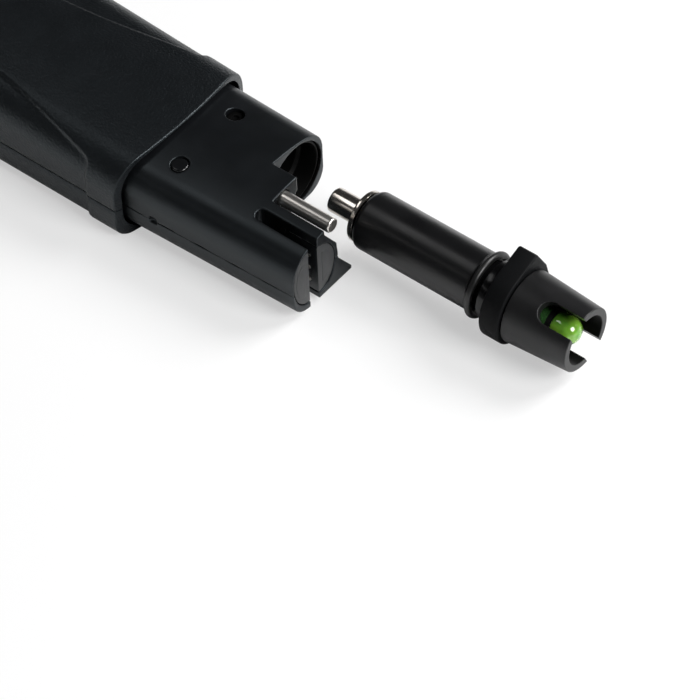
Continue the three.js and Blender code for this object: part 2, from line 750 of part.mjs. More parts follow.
const bulbTip = electrodeLength - bulbSetback;
const bulbCentre = bulbTip - bulbRadius;
const bulbRear = bulbCentre - bulbStraight;
function bulbProfile(radius, rear, inner) {
  const dome = (size) => Array.from({ length: 6 }, (_, i) => {
    const angle = i * Math.PI / 10;
    return [bulbCentre + size * Math.sin(angle), size * Math.cos(angle)];
  });
  const outside = [[rear, radius], ...dome(radius)];
  outside[outside.length - 1][1] = 0;
  if (!inner) return [[rear, 0], ...outside];
  const inside = [[rear, inner], ...dome(inner)].reverse();
  inside[0][1] = 0;
  return [...outside, ...inside, [rear, radius]];
}

const glassBulb = () => turnedX(bulbProfile(bulbRadius, bulbRear, bulbRadius - glassWall), 16);
const bulbFill = () => turnedX(bulbProfile(bulbRadius - glassWall - gap, bulbRear + gap), 16);
const glassStem = () => tubeX(tubeStart + 5, bulbRear - gap, stemRadius - glassWall, stemRadius, 24);
const innerWire = () => rodX(pinLength + 6.6, bulbRear - 2 * gap, 0.4, 10);
const gelFill = () => tubeX(tubeStart + 5, collarStart - 1, stemRadius + gap, tubeBoreRadius - gap, 24);
const sealPlug = () => tubeX(collarStart - 0.6, sleeveStart - gap, stemRadius + gap, tubeBoreRadius - gap, 24);
const junctionWick = () => tubeX(sleeveStart + 1.4 + gap, sleeveStart + 3, stemRadius + gap, sleeveBore - 1.4, 24);

// ---- Assembly ----
function piece(name, body, material, place = [0, 0, 0]) {
  const { vertProperties, triVerts } = body.getMesh();
  const geometry = new THREE.BufferGeometry();
  geometry.setAttribute('position', new THREE.Float32BufferAttribute(vertProperties, 3));
  geometry.setIndex(new THREE.Uint32BufferAttribute(triVerts, 1));
  geometry.computeVertexNormals();
  const mesh = new THREE.Mesh(geometry, material);
  mesh.name = name;
  mesh.position.set(...place);
  return mesh;
}

const tester = new THREE.Group();
tester.add(
  piece('back_shell', backShell(), shellBlack),
  piece('front_shell', frontShell(), shellBlack),
  piece('probe_housing_back', housingBack(), housingBlack),
  piece('probe_housing_front', housingFront(), housingBlack),
);

const plugUnder = plugTop - plugThickness - 2 * gap;
const setScrewLow = socketZ + linerRearRadius + gap;
const plugRadius = screwHole - plugClearance;
const plugBlank = at(rodZ(plugTop - plugThickness, neckTop + 1, plugRadius, 28), screwX, plugY, 0);
tester.add(
  piece('housing_screw_plug', plugBlank.intersect(neckForm(0.03, 0, neckLength)), housingBlack),
  piece('housing_screw', headedScrewZ(1.15, 1.1, 0.2, 11), steel, [screwX, plugY, plugUnder - 0.2]),
  piece('socket_set_screw', rodZ(0, 0.5, screwHole - gap, 24), steel, [screwX, setScrewY, setScrewLow]),
);

const socket = new THREE.Group();
socket.position.set(0, socketY, socketZ);
socket.add(
  piece('socket_sleeve', socketSleeve(), tubeBlack),
  piece('socket_centre_contact', centreContact(), brass),
  piece('socket_ring_contact', ringContact(), brass),
);
tester.add(socket);

tester.add(piece('temperature_rod', turnedX(rodProfile, 28), steel, [0, rodY, rodCentre]));

const cellPins = Array.from({ length: cellPinCount }, (_, i) => ({
  name: `cell_pin_${i + 1}`,
  z: neckBottom + 4.2 + i * 3.4,
}));
const cellPin = solid(new THREE.CylinderGeometry(cellPinRadius, cellPinRadius, 1.4, 16));
const pinHoles = allOf(cellPins.map(({ z }) => at(
  solid(new THREE.CylinderGeometry(cellPinRadius + gap, cellPinRadius + gap, 4, 16)),
  neckLength - 2.4, slotInner, z)));
for (const { name, side } of insertSides) {
  const insert = prismX(insertOutline(side, 0), neckLength - insertDepth, neckLength);
  tester.add(piece(name, side > 0 ? insert.subtract(pinHoles) : insert, insertGrey));
}
for (const { name, z } of cellPins) {
  tester.add(piece(name, cellPin, steel, [neckLength - 2.4, slotInner + 0.6, z]));
}

tester.add(
  piece('main_board', mainBoard(), boardGreen),
  piece('microcontroller', block([-5, 5], [-5, 5], [0, 1.4]), chipBlack, [displayX, 0, boardTop + gap]),
  piece('amplifier_chip', block([-2.5, 2.5], [-2, 2], [0, 1.2]), chipBlack, [
    boardFront - 9, -6, boardTop + gap,
  ]),
  piece('display_module', displayModule(), displayGlass),
  piece('display_strip_left', displayStrip(-1), rubberBlack),
  piece('display_strip_right', displayStrip(1), rubberBlack),
  piece('display_window', displayWindow(), clearGlass),
  piece('front_overlay', frontOverlay(), overlayGrey),
);
for (const [side, label] of [[-1, 'left'], [1, 'right']]) {
  const place = [buttonX, side * buttonSpacing / 2, 0];
  tester.add(piece(`button_${label}`, button(), keyGrey, place));
  tester.add(piece(`switch_${label}`, tactileSwitch(), chipBlack, place));
}
boardScrewPlaces.forEach(([x, y], i) => {
  const screw = headedScrewZ(2.2, 1.15, 1.4, 5.6);
  tester.add(piece(`board_screw_${i + 1}`, screw, steel, [x, y, boardTop + gap]));
});

const boardEdge = boardFront - 5;
tester.add(
  piece('socket_lead', lead([
    [linerRear - 1.9, socketY, socketZ],
    [linerRear - 3, socketY, boardTop + 1.6],
    [boardEdge + 1, socketY, boardTop + 1.6],
    [boardEdge, socketY, boardTop + 1],
  ]), leadRed),
  piece('cell_lead', lead([
    [-spigotLength - 0.5, plugY, socketZ],
    [mix(-spigotLength, boardEdge, 0.5), plugY + 2, socketZ + 2],
    [boardEdge + 1, -8, boardTop + 1.6],
    [boardEdge, -8, boardTop + 1],
  ]), leadRed),
);

tester.add(
  piece('battery_tray', batteryTray(), chipBlack),
  piece('battery_contact_left', batteryContact(-1), nickel),
  piece('battery_contact_right', batteryContact(1), nickel),
);
cellPlaces.forEach((y, i) => {
  const place = [trayFront - trayWall - gap - cellRadius, y, cellZ];
  tester.add(piece(`button_cell_${i + 1}`, buttonCell(), steel, place));
});

tester.add(piece('battery_cover', batteryCover(), shellBlack));
tester.add(piece('cover_gasket', coverGasket(), rubberBlack));
coverScrewPlaces.forEach(({ y, z }, i) => {
  tester.add(piece(`cover_screw_${i + 1}`, coverScrew(), steel, [0, y, z]));
});

const electrode = new THREE.Group();
electrode.position.set(pinEndRest, socketY, socketZ);
electrode.rotation.x = restTwist;
electrode.add(
  piece('contact_pin', contactPin(), nickel),
  piece('contact_ring', contactRing(), nickel),
  piece('contact_insulator', contactInsulator(), chipBlack),
  piece('electrode_tube', electrodeTube(), tubeBlack),
  piece('electrode_o_ring', oRing(), rubberBlack),
  piece('lock_collar', lockCollar(), tubeBlack),
  piece('guard_sleeve', guardSleeve(), tubeBlack),
  piece('glass_bulb', glassBulb(), clearGlass),
  piece('bulb_fill', bulbFill(), bulbGreen),
  piece('glass_stem', glassStem(), clearGlass),
  piece('inner_wire', innerWire(), steel),
  piece('gel_fill', gelFill(), gelClear),
  piece('seal_plug', sealPlug(), rubberBlack),
  piece('junction_wick', junctionWick(), wickWhite),
);

// The frame's origin is under the middle of the whole object, on the surface that it lies on.
const group = new THREE.Group();
group.position.x = -(bodyRear + pinEndRest + electrodeLength) / 2;
group.add(tester, electrode);

export default group;
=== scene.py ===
import math
import bpy
from mathutils import Matrix, Vector


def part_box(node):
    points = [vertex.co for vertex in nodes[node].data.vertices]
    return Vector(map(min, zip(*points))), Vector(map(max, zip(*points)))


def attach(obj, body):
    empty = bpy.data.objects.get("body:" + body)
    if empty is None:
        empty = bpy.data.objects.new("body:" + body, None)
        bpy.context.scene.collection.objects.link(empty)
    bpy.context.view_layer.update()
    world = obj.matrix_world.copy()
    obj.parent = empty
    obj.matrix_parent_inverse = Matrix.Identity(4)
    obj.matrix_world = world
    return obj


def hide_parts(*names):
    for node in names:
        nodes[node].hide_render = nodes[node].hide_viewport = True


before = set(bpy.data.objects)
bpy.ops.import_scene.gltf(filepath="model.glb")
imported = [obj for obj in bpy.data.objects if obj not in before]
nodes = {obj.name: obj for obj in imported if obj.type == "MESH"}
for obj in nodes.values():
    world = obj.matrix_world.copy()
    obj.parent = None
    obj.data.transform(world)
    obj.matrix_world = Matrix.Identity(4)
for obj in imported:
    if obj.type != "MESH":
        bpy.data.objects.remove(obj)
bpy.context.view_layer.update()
mm = 0.001

# lengths below are in millimetres, X measured from the sides of the body's shoulder
body = {
    "length": 120, "half": 20, "high": 26, "hoodHigh": 20.4, "rise": 75, "bow": 3,
    "topRadius": 8, "lowRadius": 3.5, "crown": 0.9, "seam": 8, "seamGap": 0.09, "seamEase": (0.12, 0.15), "wall": 2,
    "coverFront": -110.4, "shellRear": -109, "rearDrop": 1,
}
neck = {
    "length": 42.3, "half": 17.35, "taper": 1.25, "top": 19, "drop": 0.3, "crown": 1.4,
    "topRadius": 6.3, "lowRadius": 4.9, "bottom": 0.95, "upperCounts": (8, 24, 22), "lowerCounts": (6, 16, 14),
    "rear": -3, "ringStep": 3, "seamGap": 0.08, "skin": (0.26, 3),
}
socket = {"y": 8.16, "z": 9.45, "rim": 23.3, "bore": 7.95, "deepBore": 7.4, "deepEnd": 16.9, "room": 8.9}
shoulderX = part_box("back_shell")[1].x / mm - body["bow"]
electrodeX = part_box("contact_pin")[0].x / mm - shoulderX  # end of the contact pin
twist = math.radians(17.4)  # how far the collar and the sleeve are turned
joinGap = 2e-6  # points nearer than this, in metres, become one


def spot(x, y, z):
    return Vector(((shoulderX + x) * mm, y * mm, z * mm))


def pickOnly(piece):
    if bpy.context.object and bpy.context.object.mode == "EDIT":
        bpy.ops.object.mode_set(mode="OBJECT")
    bpy.ops.object.select_all(action="DESELECT")
    piece.select_set(True)
    bpy.context.view_layer.objects.active = piece


def openPiece(piece, action="SELECT"):
    pickOnly(piece)
    bpy.ops.object.mode_set(mode="EDIT")
    bpy.ops.mesh.select_mode(type="VERT")
    bpy.ops.mesh.select_all(action=action)


def openParts(piece, kind, wanted):
    # edit mode with only the wanted edges or faces selected
    pickOnly(piece)
    bpy.ops.object.mode_set(mode="EDIT")
    bpy.ops.mesh.select_mode(type=kind)
    bpy.ops.mesh.select_all(action="DESELECT")
    bpy.ops.object.mode_set(mode="OBJECT")
    for part in piece.data.edges if kind == "EDGE" else piece.data.polygons:
        part.select = wanted(part)
    bpy.ops.object.mode_set(mode="EDIT")


def closePiece(piece):
    pickOnly(piece)
    bpy.ops.object.transform_apply(location=True, rotation=True, scale=True)
    return piece


def newest(name):
    piece = bpy.context.object
    piece.name = name
    return piece


def applied(piece, kind, **settings):
    pickOnly(piece)
    modifier = piece.modifiers.new(kind.title(), kind)
    for key, value in settings.items():
        setattr(modifier, key, value)
    bpy.ops.object.modifier_apply(modifier=modifier.name)
    return piece


def faceOut(piece):
    openPiece(piece)
    bpy.ops.mesh.remove_doubles(threshold=joinGap)
    bpy.ops.mesh.delete_loose()
    bpy.ops.mesh.select_all(action="SELECT")
    bpy.ops.mesh.normals_make_consistent(inside=False)
    return closePiece(piece)


def smoothed(piece, angle=35):
    pickOnly(piece)
    bpy.ops.object.shade_smooth_by_angle(angle=math.radians(angle))
    return piece


def bevelled(piece, width, segments=3, angle=35):
    applied(piece, "BEVEL", width=width * mm, segments=segments, limit_method="ANGLE",
            angle_limit=math.radians(angle), use_clamp_overlap=True)
    return smoothed(piece)


def fineSkin(piece, cell, passes):
    # one even skin over everything cut and joined, with its edges eased
    pickOnly(piece)
    piece.data.remesh_voxel_size = cell * mm
    bpy.ops.object.voxel_remesh()
    applied(piece, "SMOOTH", factor=0.5, iterations=passes)
    pickOnly(piece)
    bpy.ops.object.shade_smooth()
    return piece


def chain(name, points):
    # a row of joined points, drawn one after another
    bpy.ops.object.select_all(action="DESELECT")
    bpy.ops.mesh.primitive_plane_add(size=mm, location=points[0])
    piece = newest(name)
    bpy.ops.object.mode_set(mode="EDIT")
    bpy.ops.mesh.select_mode(type="VERT")
    bpy.ops.mesh.select_all(action="SELECT")
    bpy.ops.mesh.merge(type="CENTER")
    for here, there in zip(points, points[1:]):
        bpy.ops.mesh.extrude_vertices_move(TRANSFORM_OT_translate={"value": there - here})
    bpy.ops.mesh.select_all(action="SELECT")
    return piece


def turned(name, profile, y=0, z=0, sides=64):
    # (along X, radius) pairs spun round a line through y and z
    piece = chain(name, [spot(along, y, z + radius) for along, radius in profile])
    bpy.ops.mesh.spin(steps=sides, angle=2 * math.pi, center=spot(0, y, z), axis=(1, 0, 0))
    return faceOut(piece)


def pulled(name, outline, x0, x1):
    # an outline in Y and Z pulled out along X
    piece = chain(name, [spot(x0, y, z) for y, z in outline])
    bpy.ops.mesh.edge_face_add()
    bpy.ops.mesh.extrude_region_move(TRANSFORM_OT_translate={"value": ((x1 - x0) * mm, 0, 0)})
    return faceOut(piece)


def block(name, x, y, z):
    bpy.ops.object.select_all(action="DESELECT")
    centre = spot(*[sum(pair) / 2 for pair in (x, y, z)])
    bpy.ops.mesh.primitive_cube_add(size=1, location=centre)
    piece = newest(name)
    piece.scale = [(pair[1] - pair[0]) * mm for pair in (x, y, z)]
    return closePiece(piece)


def post(name, radius, x, y, z, sides=48):
    # an upright round post, z given as (low, high)
    bpy.ops.object.select_all(action="DESELECT")
    bpy.ops.mesh.primitive_cylinder_add(vertices=sides, radius=radius * mm, depth=(z[1] - z[0]) * mm,
                                        location=spot(x, y, sum(z) / 2))
    return closePiece(newest(name))


def joined(piece, other, operation="DIFFERENCE"):
    applied(piece, "BOOLEAN", object=other, operation=operation, solver="EXACT")
    bpy.data.objects.remove(other)
    return piece


def together(piece, other):
    # two closed pieces kept in one mesh
    pickOnly(piece)
    other.select_set(True)
    bpy.ops.object.join()
    return piece


def arc(cx, cr, radius, start, end, steps):
    angles = [math.radians(start + (end - start) * i / steps) for i in range(steps + 1)]
    return [(cx + radius * math.cos(t), cr + radius * math.sin(t)) for t in angles]


def wrapped(name, rows, closed=False):
    # a flat grid whose rows are laid on the given rows of points
    across, along = len(rows[0]), len(rows)
    bpy.ops.object.select_all(action="DESELECT")
    bpy.ops.mesh.primitive_grid_add(x_subdivisions=along - 1, y_subdivisions=across - 1, size=2)
    piece = newest(name)
    for corner in piece.data.vertices:
        i = round((corner.co.x + 1) / 2 * (along - 1))
        j = round((corner.co.y + 1) / 2 * (across - 1))
        corner.co = spot(*rows[i][j])
    if closed:
        openPiece(piece)
        bpy.ops.mesh.remove_doubles(threshold=joinGap)
    return closePiece(piece)


def ease(t):
    t = min(max(t, 0), 1)
    return t * t * (3 - 2 * t)


finishes = {}
pattern = {"mottleScale": 180, "mottleDetail": 3, "wearScale": 90, "streakScale": 420, "wearDetail": 4,
           "grainDetail": 2, "range": (0.3, 0.7)}


def finish(name, colour, roughness, metallic=0, grain=(), mottle=0.15, drift=0.08, coat=0, specular=0.5,
           transmission=0, streak=None, other=None, sheen=(1, 1, 1)):
    # grain holds (scale, depth in millimetres, stretch) for each bump, fine or coarse
    material = bpy.data.materials.new(name)
    material.use_nodes = True
    tree = material.node_tree
    shader = tree.nodes["Principled BSDF"]
    place = tree.nodes.new("ShaderNodeTexCoord")

    def noise(scale, detail, stretch=None):
        node = tree.nodes.new("ShaderNodeTexNoise")
        node.inputs["Scale"].default_value = scale
        node.inputs["Detail"].default_value = detail
        source = place.outputs["Object"]
        if stretch:
            turn = tree.nodes.new("ShaderNodeMapping")
            turn.inputs["Scale"].default_value = stretch
            tree.links.new(source, turn.inputs["Vector"])
            source = turn.outputs["Vector"]
        tree.links.new(source, node.inputs["Vector"])
        return node.outputs["Fac"]

    def spread(source, low, high):
        node = tree.nodes.new("ShaderNodeMapRange")
        node.inputs["From Min"].default_value, node.inputs["From Max"].default_value = pattern["range"]
        node.inputs["To Min"].default_value = low
        node.inputs["To Max"].default_value = high
        tree.links.new(source, node.inputs["Value"])
        return node.outputs["Result"]

    tint = tree.nodes.new("ShaderNodeMix")
    tint.data_type = "RGBA"
    tint.inputs["A"].default_value = [c * (1 - mottle) for c in colour] + [1]
    tint.inputs["B"].default_value = [min(c * (1 + mottle), 1) for c in other or colour] + [1]
    tree.links.new(spread(noise(pattern["mottleScale"], pattern["mottleDetail"]), 0, 1), tint.inputs["Factor"])
    tree.links.new(tint.outputs["Result"], shader.inputs["Base Color"])
    wear = noise(pattern["streakScale"] if streak else pattern["wearScale"], pattern["wearDetail"], streak)
    tree.links.new(spread(wear, roughness - drift, roughness + drift), shader.inputs["Roughness"])
    shader.inputs["Metallic"].default_value = metallic
    shader.inputs["Specular IOR Level"].default_value = specular
    shader.inputs["Specular Tint"].default_value = (*sheen, 1)
    shader.inputs["Coat Weight"].default_value = coat
    shader.inputs["Transmission Weight"].default_value = transmission
    below = None
    for scale, depth, stretch in grain:
        bump = tree.nodes.new("ShaderNodeBump")
        bump.inputs["Distance"].default_value = depth * mm
        bump.inputs["Strength"].default_value = 1
        tree.links.new(noise(scale, pattern["grainDetail"], stretch), bump.inputs["Height"])
        if below:
            tree.links.new(below, bump.inputs["Normal"])
        below = bump.outputs["Normal"]
    if below:
        tree.links.new(below, shader.inputs["Normal"])
    finishes[name] = material
    return material


finish("grainedShell", (0.0040, 0.0047, 0.0056), 0.37, grain=((1900, 0.11, None), (3200, 0.05, None)), drift=0.015,
       specular=0.42, sheen=(0.82, 0.94, 1))
finish("satinNeck", (0.0042, 0.0046, 0.0054), 0.36, grain=((1900, 0.008, None),), drift=0.04, specular=0.42,
       sheen=(0.82, 0.94, 1))
finish("plugGloss", (0.004, 0.0044, 0.005), 0.2, grain=((900, 0.004, None),), drift=0.04)
# near-black, matte set screw: painted shade for the deep dark hole it sits in
finish("setScrewHoleShade", (0.002, 0.002, 0.002), 0.8, grain=((1600, 0.004, None),), specular=0.05)
# near-black liner finish: the socket liner's own colour, and also painted shade on the inner faces of bores
finish("linerBlackAndBoreShade", (0.002, 0.002, 0.002), 0.5, grain=((1500, 0.004, None),), specular=0.11)
finish("cellGrey", (0.034, 0.035, 0.036), 0.5, grain=((2500, 0.012, None),))
finish("tubeSatin", (0.0055, 0.0055, 0.006), 0.31, grain=((900, 0.004, (6, 1, 1)),), drift=0.04, specular=0.42)
finish("grooveGloss", (0.004, 0.004, 0.0045), 0.2, grain=((700, 0.003, None),), drift=0.03, specular=0.3)
finish("sleeveSatin", (0.0065, 0.0065, 0.007), 0.4, grain=((2200, 0.012, None),), specular=0.42)
finish("collarMatte", (0.003, 0.0033, 0.0038), 0.6, grain=((2600, 0.03, None),), specular=0.12)
finish("sealRubber", (0.006, 0.006, 0.006), 0.38, grain=((1500, 0.01, None),))
finish("polishedNickel", (0.72, 0.67, 0.61), 0.19, metallic=1, mottle=0.04, drift=0.01,
       grain=((1200, 0.001, (9, 1, 1)),), streak=(12, 1, 1))
finish("turnedSteel", (0.74, 0.71, 0.67), 0.3, metallic=1, mottle=0.03, drift=0.012,
       grain=((2600, 0.0006, (4, 1, 1)),), streak=(12, 3, 3))
finish("warmBrass", (0.70, 0.52, 0.24), 0.3, metallic=1, mottle=0.08, grain=((1500, 0.004, None),))
finish("boardGreen", (0.02, 0.14, 0.06), 0.4, grain=((1400, 0.02, None),), coat=0.3)
finish("chipBlack", (0.014, 0.014, 0.014), 0.5, grain=((2600, 0.02, None),))
finish("displayGreen", (0.28, 0.32, 0.27), 0.25, grain=((900, 0.003, None),), coat=0.4)
finish("clearGlass", (0.93, 0.97, 0.94), 0.02, transmission=1, mottle=0, drift=0.01)
# the stem's green is the gel's own colour, painted darker as the shade it lies in inside the sleeve
finish("stemGlass", (0.12, 0.36, 0.10), 0.04, transmission=0.6, mottle=0.3, drift=0.02, coat=0.5)
finish("bulbGlass", (0.14, 0.52, 0.05), 0.07, transmission=0.5, mottle=0.1, drift=0.03, coat=1,
       other=(0.46, 0.78, 0.08))
finish("bulbLiquid", (0.40, 0.86, 0.06), 0.15, mottle=0.25, coat=0.6)
finish("paleGel", (0.72, 0.72, 0.66), 0.3, coat=0.3, grain=((400, 0.02, None),))
finish("wickWhite", (0.74, 0.72, 0.67), 0.85, grain=((2500, 0.06, (1, 3, 3)),))
finish("keyRubber", (0.11, 0.115, 0.125), 0.6, grain=((2200, 0.03, None),))
finish("overlayFilm", (0.045, 0.048, 0.053), 0.4, grain=((1800, 0.012, None),))
finish("leadRed", (0.30, 0.025, 0.018), 0.45, grain=((1500, 0.01, None),))
print("finishes ready:", len(finishes))


def dressed(piece, finishName, slotName, bodyName, *cadNodes):
    piece.data.materials.clear()
    piece.data.materials.append(finishes[finishName])
    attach(piece, bodyName)
    if cadNodes:
        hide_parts(*cadNodes)
    return piece


# faces inside a bore that look at its axis get the near-black liner finish: painted shade for the inside of the hollow
def paintBoreShade(piece, reach):
    piece.data.materials.append(finishes["linerBlackAndBoreShade"])
    for facet in piece.data.polygons:
        out = facet.center - spot(0, socket["y"], socket["z"])
        out.x = 0
        if out.length < reach * mm and facet.normal.dot(out) < -0.5 * out.length:  # faces that look at the axis
            facet.material_index = 1


def backHigh(x):
    if x < body["coverFront"]:
        return body["high"] - body["rearDrop"] * (body["coverFront"] - x) / (body["length"] + body["coverFront"])
    return body["hoodHigh"] + (body["high"] - body["hoodHigh"]) * min(max(-x, 0) / body["rise"], 1)


def cornerPath(half, high, radius, crown, foot, counts):
    # up one side, round its corner and over to the middle: (y, z, out y, out z, way from the middle)
    lean = math.atan(2 * crown / (half - radius * 0.87))
    top = half - radius + radius * math.sin(lean)
    centreZ = high - crown - radius * math.cos(lean)
    sweep = math.pi / 2 - lean
    sideRows, arcRows, topRows = counts
    path = []
    for i in range(sideRows):
        z = foot + (centreZ - foot) * i / sideRows
        path.append((half, z, 1, 0, top + radius * sweep + centreZ - z))
    for i in range(arcRows):
        turn = sweep * i / arcRows
        path.append((half - radius + radius * math.cos(turn), centreZ + radius * math.sin(turn),
                     math.cos(turn), math.sin(turn), top + radius * (sweep - turn)))
    for i in range(topRows + 1):
        y = top * (1 - i / topRows)
        path.append((y, high - crown * (y / top) ** 2, math.sin(lean * y / top), 1, y))
    return path


def bothSides(path):
    left = [(-y, z, -outY, outZ, -way) for y, z, outY, outZ, way in path]
    return left + path[-2::-1]


grip = {"set": 0.6, "front": -7.4, "rear": -105, "middle": -58, "step": 0.8, "corner": 1.6,
        "left": (12.2, 0.00272), "right": (6.96, 0.00347)}


def gripInset(x, way):
    start, rate = grip["left"] if way < 0 else grip["right"]
    slope = 2 * rate * (x - grip["middle"])
    inside = (abs(way) - start - rate * (x - grip["middle"]) ** 2) / math.hypot(1, slope)
    ends = min(grip["front"] - x, x - grip["rear"])
    near = max(grip["corner"] - abs(inside - ends), 0)
    depth = min(inside, ends) - near * near / (4 * grip["corner"])
    return grip["set"] * ease(depth / grip["step"])


def bowAt(y):
    radius = (body["half"] ** 2 + body["bow"] ** 2) / (2 * body["bow"])
    return body["bow"] - radius + math.sqrt(radius ** 2 - min(abs(y), body["half"]) ** 2)


def stretch(start, end, step):
    count = max(1, round(abs(end - start) / step))
    return [start + (end - start) * i / count for i in range(count)]


# the body's open front edge, where the wall thins and the neck comes out
edge = {"round": 0.32, "roundSteps": 4, "bowFrom": 14, "lipDepth": 3, "opening": 1.0, "openingLow": 0.45,
        "thinOver": 8, "thinBack": 0.34, "thinFront": 0.3, "fineFrom": -62, "finestFrom": -12,
        "steps": (0.9, 0.5, 0.4)}


def shellRows(section, openingSection):
    # rows from the rear to the hood's edge, round it, and in along the opening
    rows = []
    rearStep, middleStep, frontStep = edge["steps"]
    stations = [(x, 0) for x in stretch(body["shellRear"], edge["fineFrom"], rearStep)
                + stretch(edge["fineFrom"], edge["finestFrom"], middleStep)
                + stretch(edge["finestFrom"], -edge["round"], frontStep)]
    for i in range(edge["roundSteps"] + 1):
        turn = math.pi / 2 * i / edge["roundSteps"]
        stations.append((edge["round"] * (math.sin(turn) - 1), edge["round"] * (1 - math.cos(turn))))
    for x, inset in stations:
        row = []
        shift = ease((x + edge["bowFrom"]) / edge["bowFrom"])
        for y, z, outY, outZ, way in section(x):
            push = inset + gripInset(x, way)
            row.append((x + shift * bowAt(y), y - push * outY, z - push * outZ))
        rows.append(row)
    for x in (0, -edge["lipDepth"]):
        rows.append([(x + bowAt(y), y, z) for y, z, outY, outZ, way in openingSection])
    return rows


def thickened(piece, thin):
    # a full wall that thins towards the hood's edge
    group = piece.vertex_groups.new(name="wall")
    for corner in piece.data.vertices:
        x = corner.co.x / mm - shoulderX
        share = 1 - (1 - thin / body["wall"]) * ease((x + edge["bowFrom"]) / edge["thinOver"])
        group.add([corner.index], share, "REPLACE")
    applied(piece, "SOLIDIFY", thickness=body["wall"] * mm, offset=-1, vertex_group="wall",
            use_quality_normals=True)
    return piece


backCounts = (9, 32, 40)
neckHalf = neck["half"] + edge["opening"]
backOpening = bothSides(cornerPath(neckHalf, neck["top"] + edge["opening"], neck["topRadius"] + edge["opening"],
                                   neck["crown"], body["seam"] + body["seamGap"], backCounts))


def seamEased(path, foot, away):
    # the edge along the seam is drawn in a little
    inward, along = body["seamEase"]
    y, z, outY, outZ, way = path[0]
    path[0] = (y - inward, z, outY, outZ, way)
    y, z, outY, outZ, way = path[1]
    path[1] = (y, foot + away * along, outY, outZ, way)
    return bothSides(path)


def backSection(x):
    foot = body["seam"] + body["seamGap"]
    return seamEased(cornerPath(body["half"], backHigh(x), body["topRadius"], body["crown"], foot, backCounts),
                     foot, 1)


backShell = wrapped("bodyBack", shellRows(backSection, backOpening))
thickened(backShell, edge["thinBack"])
boss = {"rear": -108.9, "front": -103.8, "bore": 1.6, "radius": 3, "y": 14, "z": 19.7}
for side in (-1, 1):
    together(backShell, turned("boss", [(boss["rear"], boss["bore"]), (boss["rear"], boss["radius"]),
                                        (boss["front"], boss["radius"]), (boss["front"], boss["bore"]),
                                        (boss["rear"], boss["bore"])], side * boss["y"], boss["z"], 32))
smoothed(backShell, 40)
dressed(backShell, "grainedShell", "shell_black", "tester", "back_shell")
print("back shell", len(backShell.data.polygons))

frontCounts = (5, 12, 14)
unmarked = 40  # way from the middle where the grips' lines don't reach


def lowPath(half, low, radius, foot, counts):
    # down one side, round its corner and in to the middle of the front face
    sideRows, arcRows, flatRows = counts
    path = []
    for i in range(sideRows):
        path.append((half, foot + (low + radius - foot) * i / sideRows, 1, 0, unmarked))
    for i in range(arcRows):
        turn = math.pi / 2 * i / arcRows
        path.append((half - radius + radius * math.cos(turn), low + radius - radius * math.sin(turn),
                     math.cos(turn), -math.sin(turn), unmarked))
    for i in range(flatRows + 1):
        path.append(((half - radius) * (1 - i / flatRows), low, 0, -1, 0))
    return path


def frontSection(x):
    foot = body["seam"] - body["seamGap"]
    return seamEased(lowPath(body["half"], 0, body["lowRadius"], foot, frontCounts), foot, -1)


frontOpening = bothSides(lowPath(neckHalf, neck["bottom"] - edge["openingLow"], neck["lowRadius"] + edge["opening"],
                                 body["seam"] - body["seamGap"], frontCounts))
frontShell = wrapped("bodyFront", shellRows(frontSection, frontOpening))
openPiece(frontShell)
bpy.ops.mesh.flip_normals()
closePiece(frontShell)
thickened(frontShell, edge["thinFront"])

# overlay, display and keys of the face that lies on the table
front = {"x": (-79.3, -30.5), "half": 15, "recess": 1, "corner": 3.2, "film": (0.15, 0.7), "filmGap": 0.3,
        "displayX": -60.8, "displayHalf": (13, 11), "displayCorner": 1.5, "keyX": -38.4, "keyY": 7, "keyRadius": 4.4,
        "keyGap": 0.3, "keyRim": 5.4, "keyDish": 0.3, "keyDepth": (0.3, 4.2), "rimDepth": (2.15, 2.95),
        "keyInsets": (1, 0.9), "pane": (12.7, 10.7), "paneDepth": (1, 2), "paneCorner": 1.2, "screen": (15, 13),
        "screenDepth": (2.3, 4.9), "screenFrame": (3.4, 0.1)}


def roundedSlab(name, x, y, z, corner, segments=8):
    # a slab whose four upright edges are rounded
    slab = block(name, x, y, z)
    corners = slab.data.vertices
    openParts(slab, "EDGE", lambda side: abs(corners[side.vertices[0]].co.z - corners[side.vertices[1]].co.z) > 1e-6)
    bpy.ops.mesh.bevel(offset=corner * mm, segments=segments, affect="EDGES")
    return closePiece(slab)


def faceOpening(z):
    # display opening and the two key holes, cut together
    halfX, halfY = front["displayHalf"]
    opening = roundedSlab("opening", (front["displayX"] - halfX, front["displayX"] + halfX), (-halfY, halfY), z,
                          front["displayCorner"])
    for side in (-1, 1):
        together(opening, post("keyHole", front["keyRadius"] + front["keyGap"], front["keyX"], side * front["keyY"],
                               z, 64))
    return opening


faceOut(frontShell)
joined(frontShell, roundedSlab("recess", front["x"], (-front["half"], front["half"]), (-1, front["recess"]),
                               front["corner"]))
joined(frontShell, faceOpening((-1, 6)))
smoothed(frontShell, 40)
dressed(frontShell, "grainedShell", "shell_black", "tester", "front_shell")
print("front shell", len(frontShell.data.polygons))


def neckRing(x):
    share = x / neck["length"]
    half = neck["half"] - neck["taper"] * share
    high = neck["top"] - neck["drop"] * share
    upper = cornerPath(half, high, neck["topRadius"], neck["crown"], body["seam"],
                       neck["upperCounts"])
    lower = lowPath(half, neck["bottom"], neck["lowRadius"], body["seam"], neck["lowerCounts"])
    right = [(x, y, z) for y, z, *rest in upper]
    under = [(x, y, z) for y, z, *rest in lower][1:]
    ring = [(x, -y, z) for x, y, z in under[::-1][:-1]]
    ring += [(x, -y, z) for x, y, z in [(x, half, body["seam"])] + right[1:]]
    ring += right[-2::-1] + under
    return ring


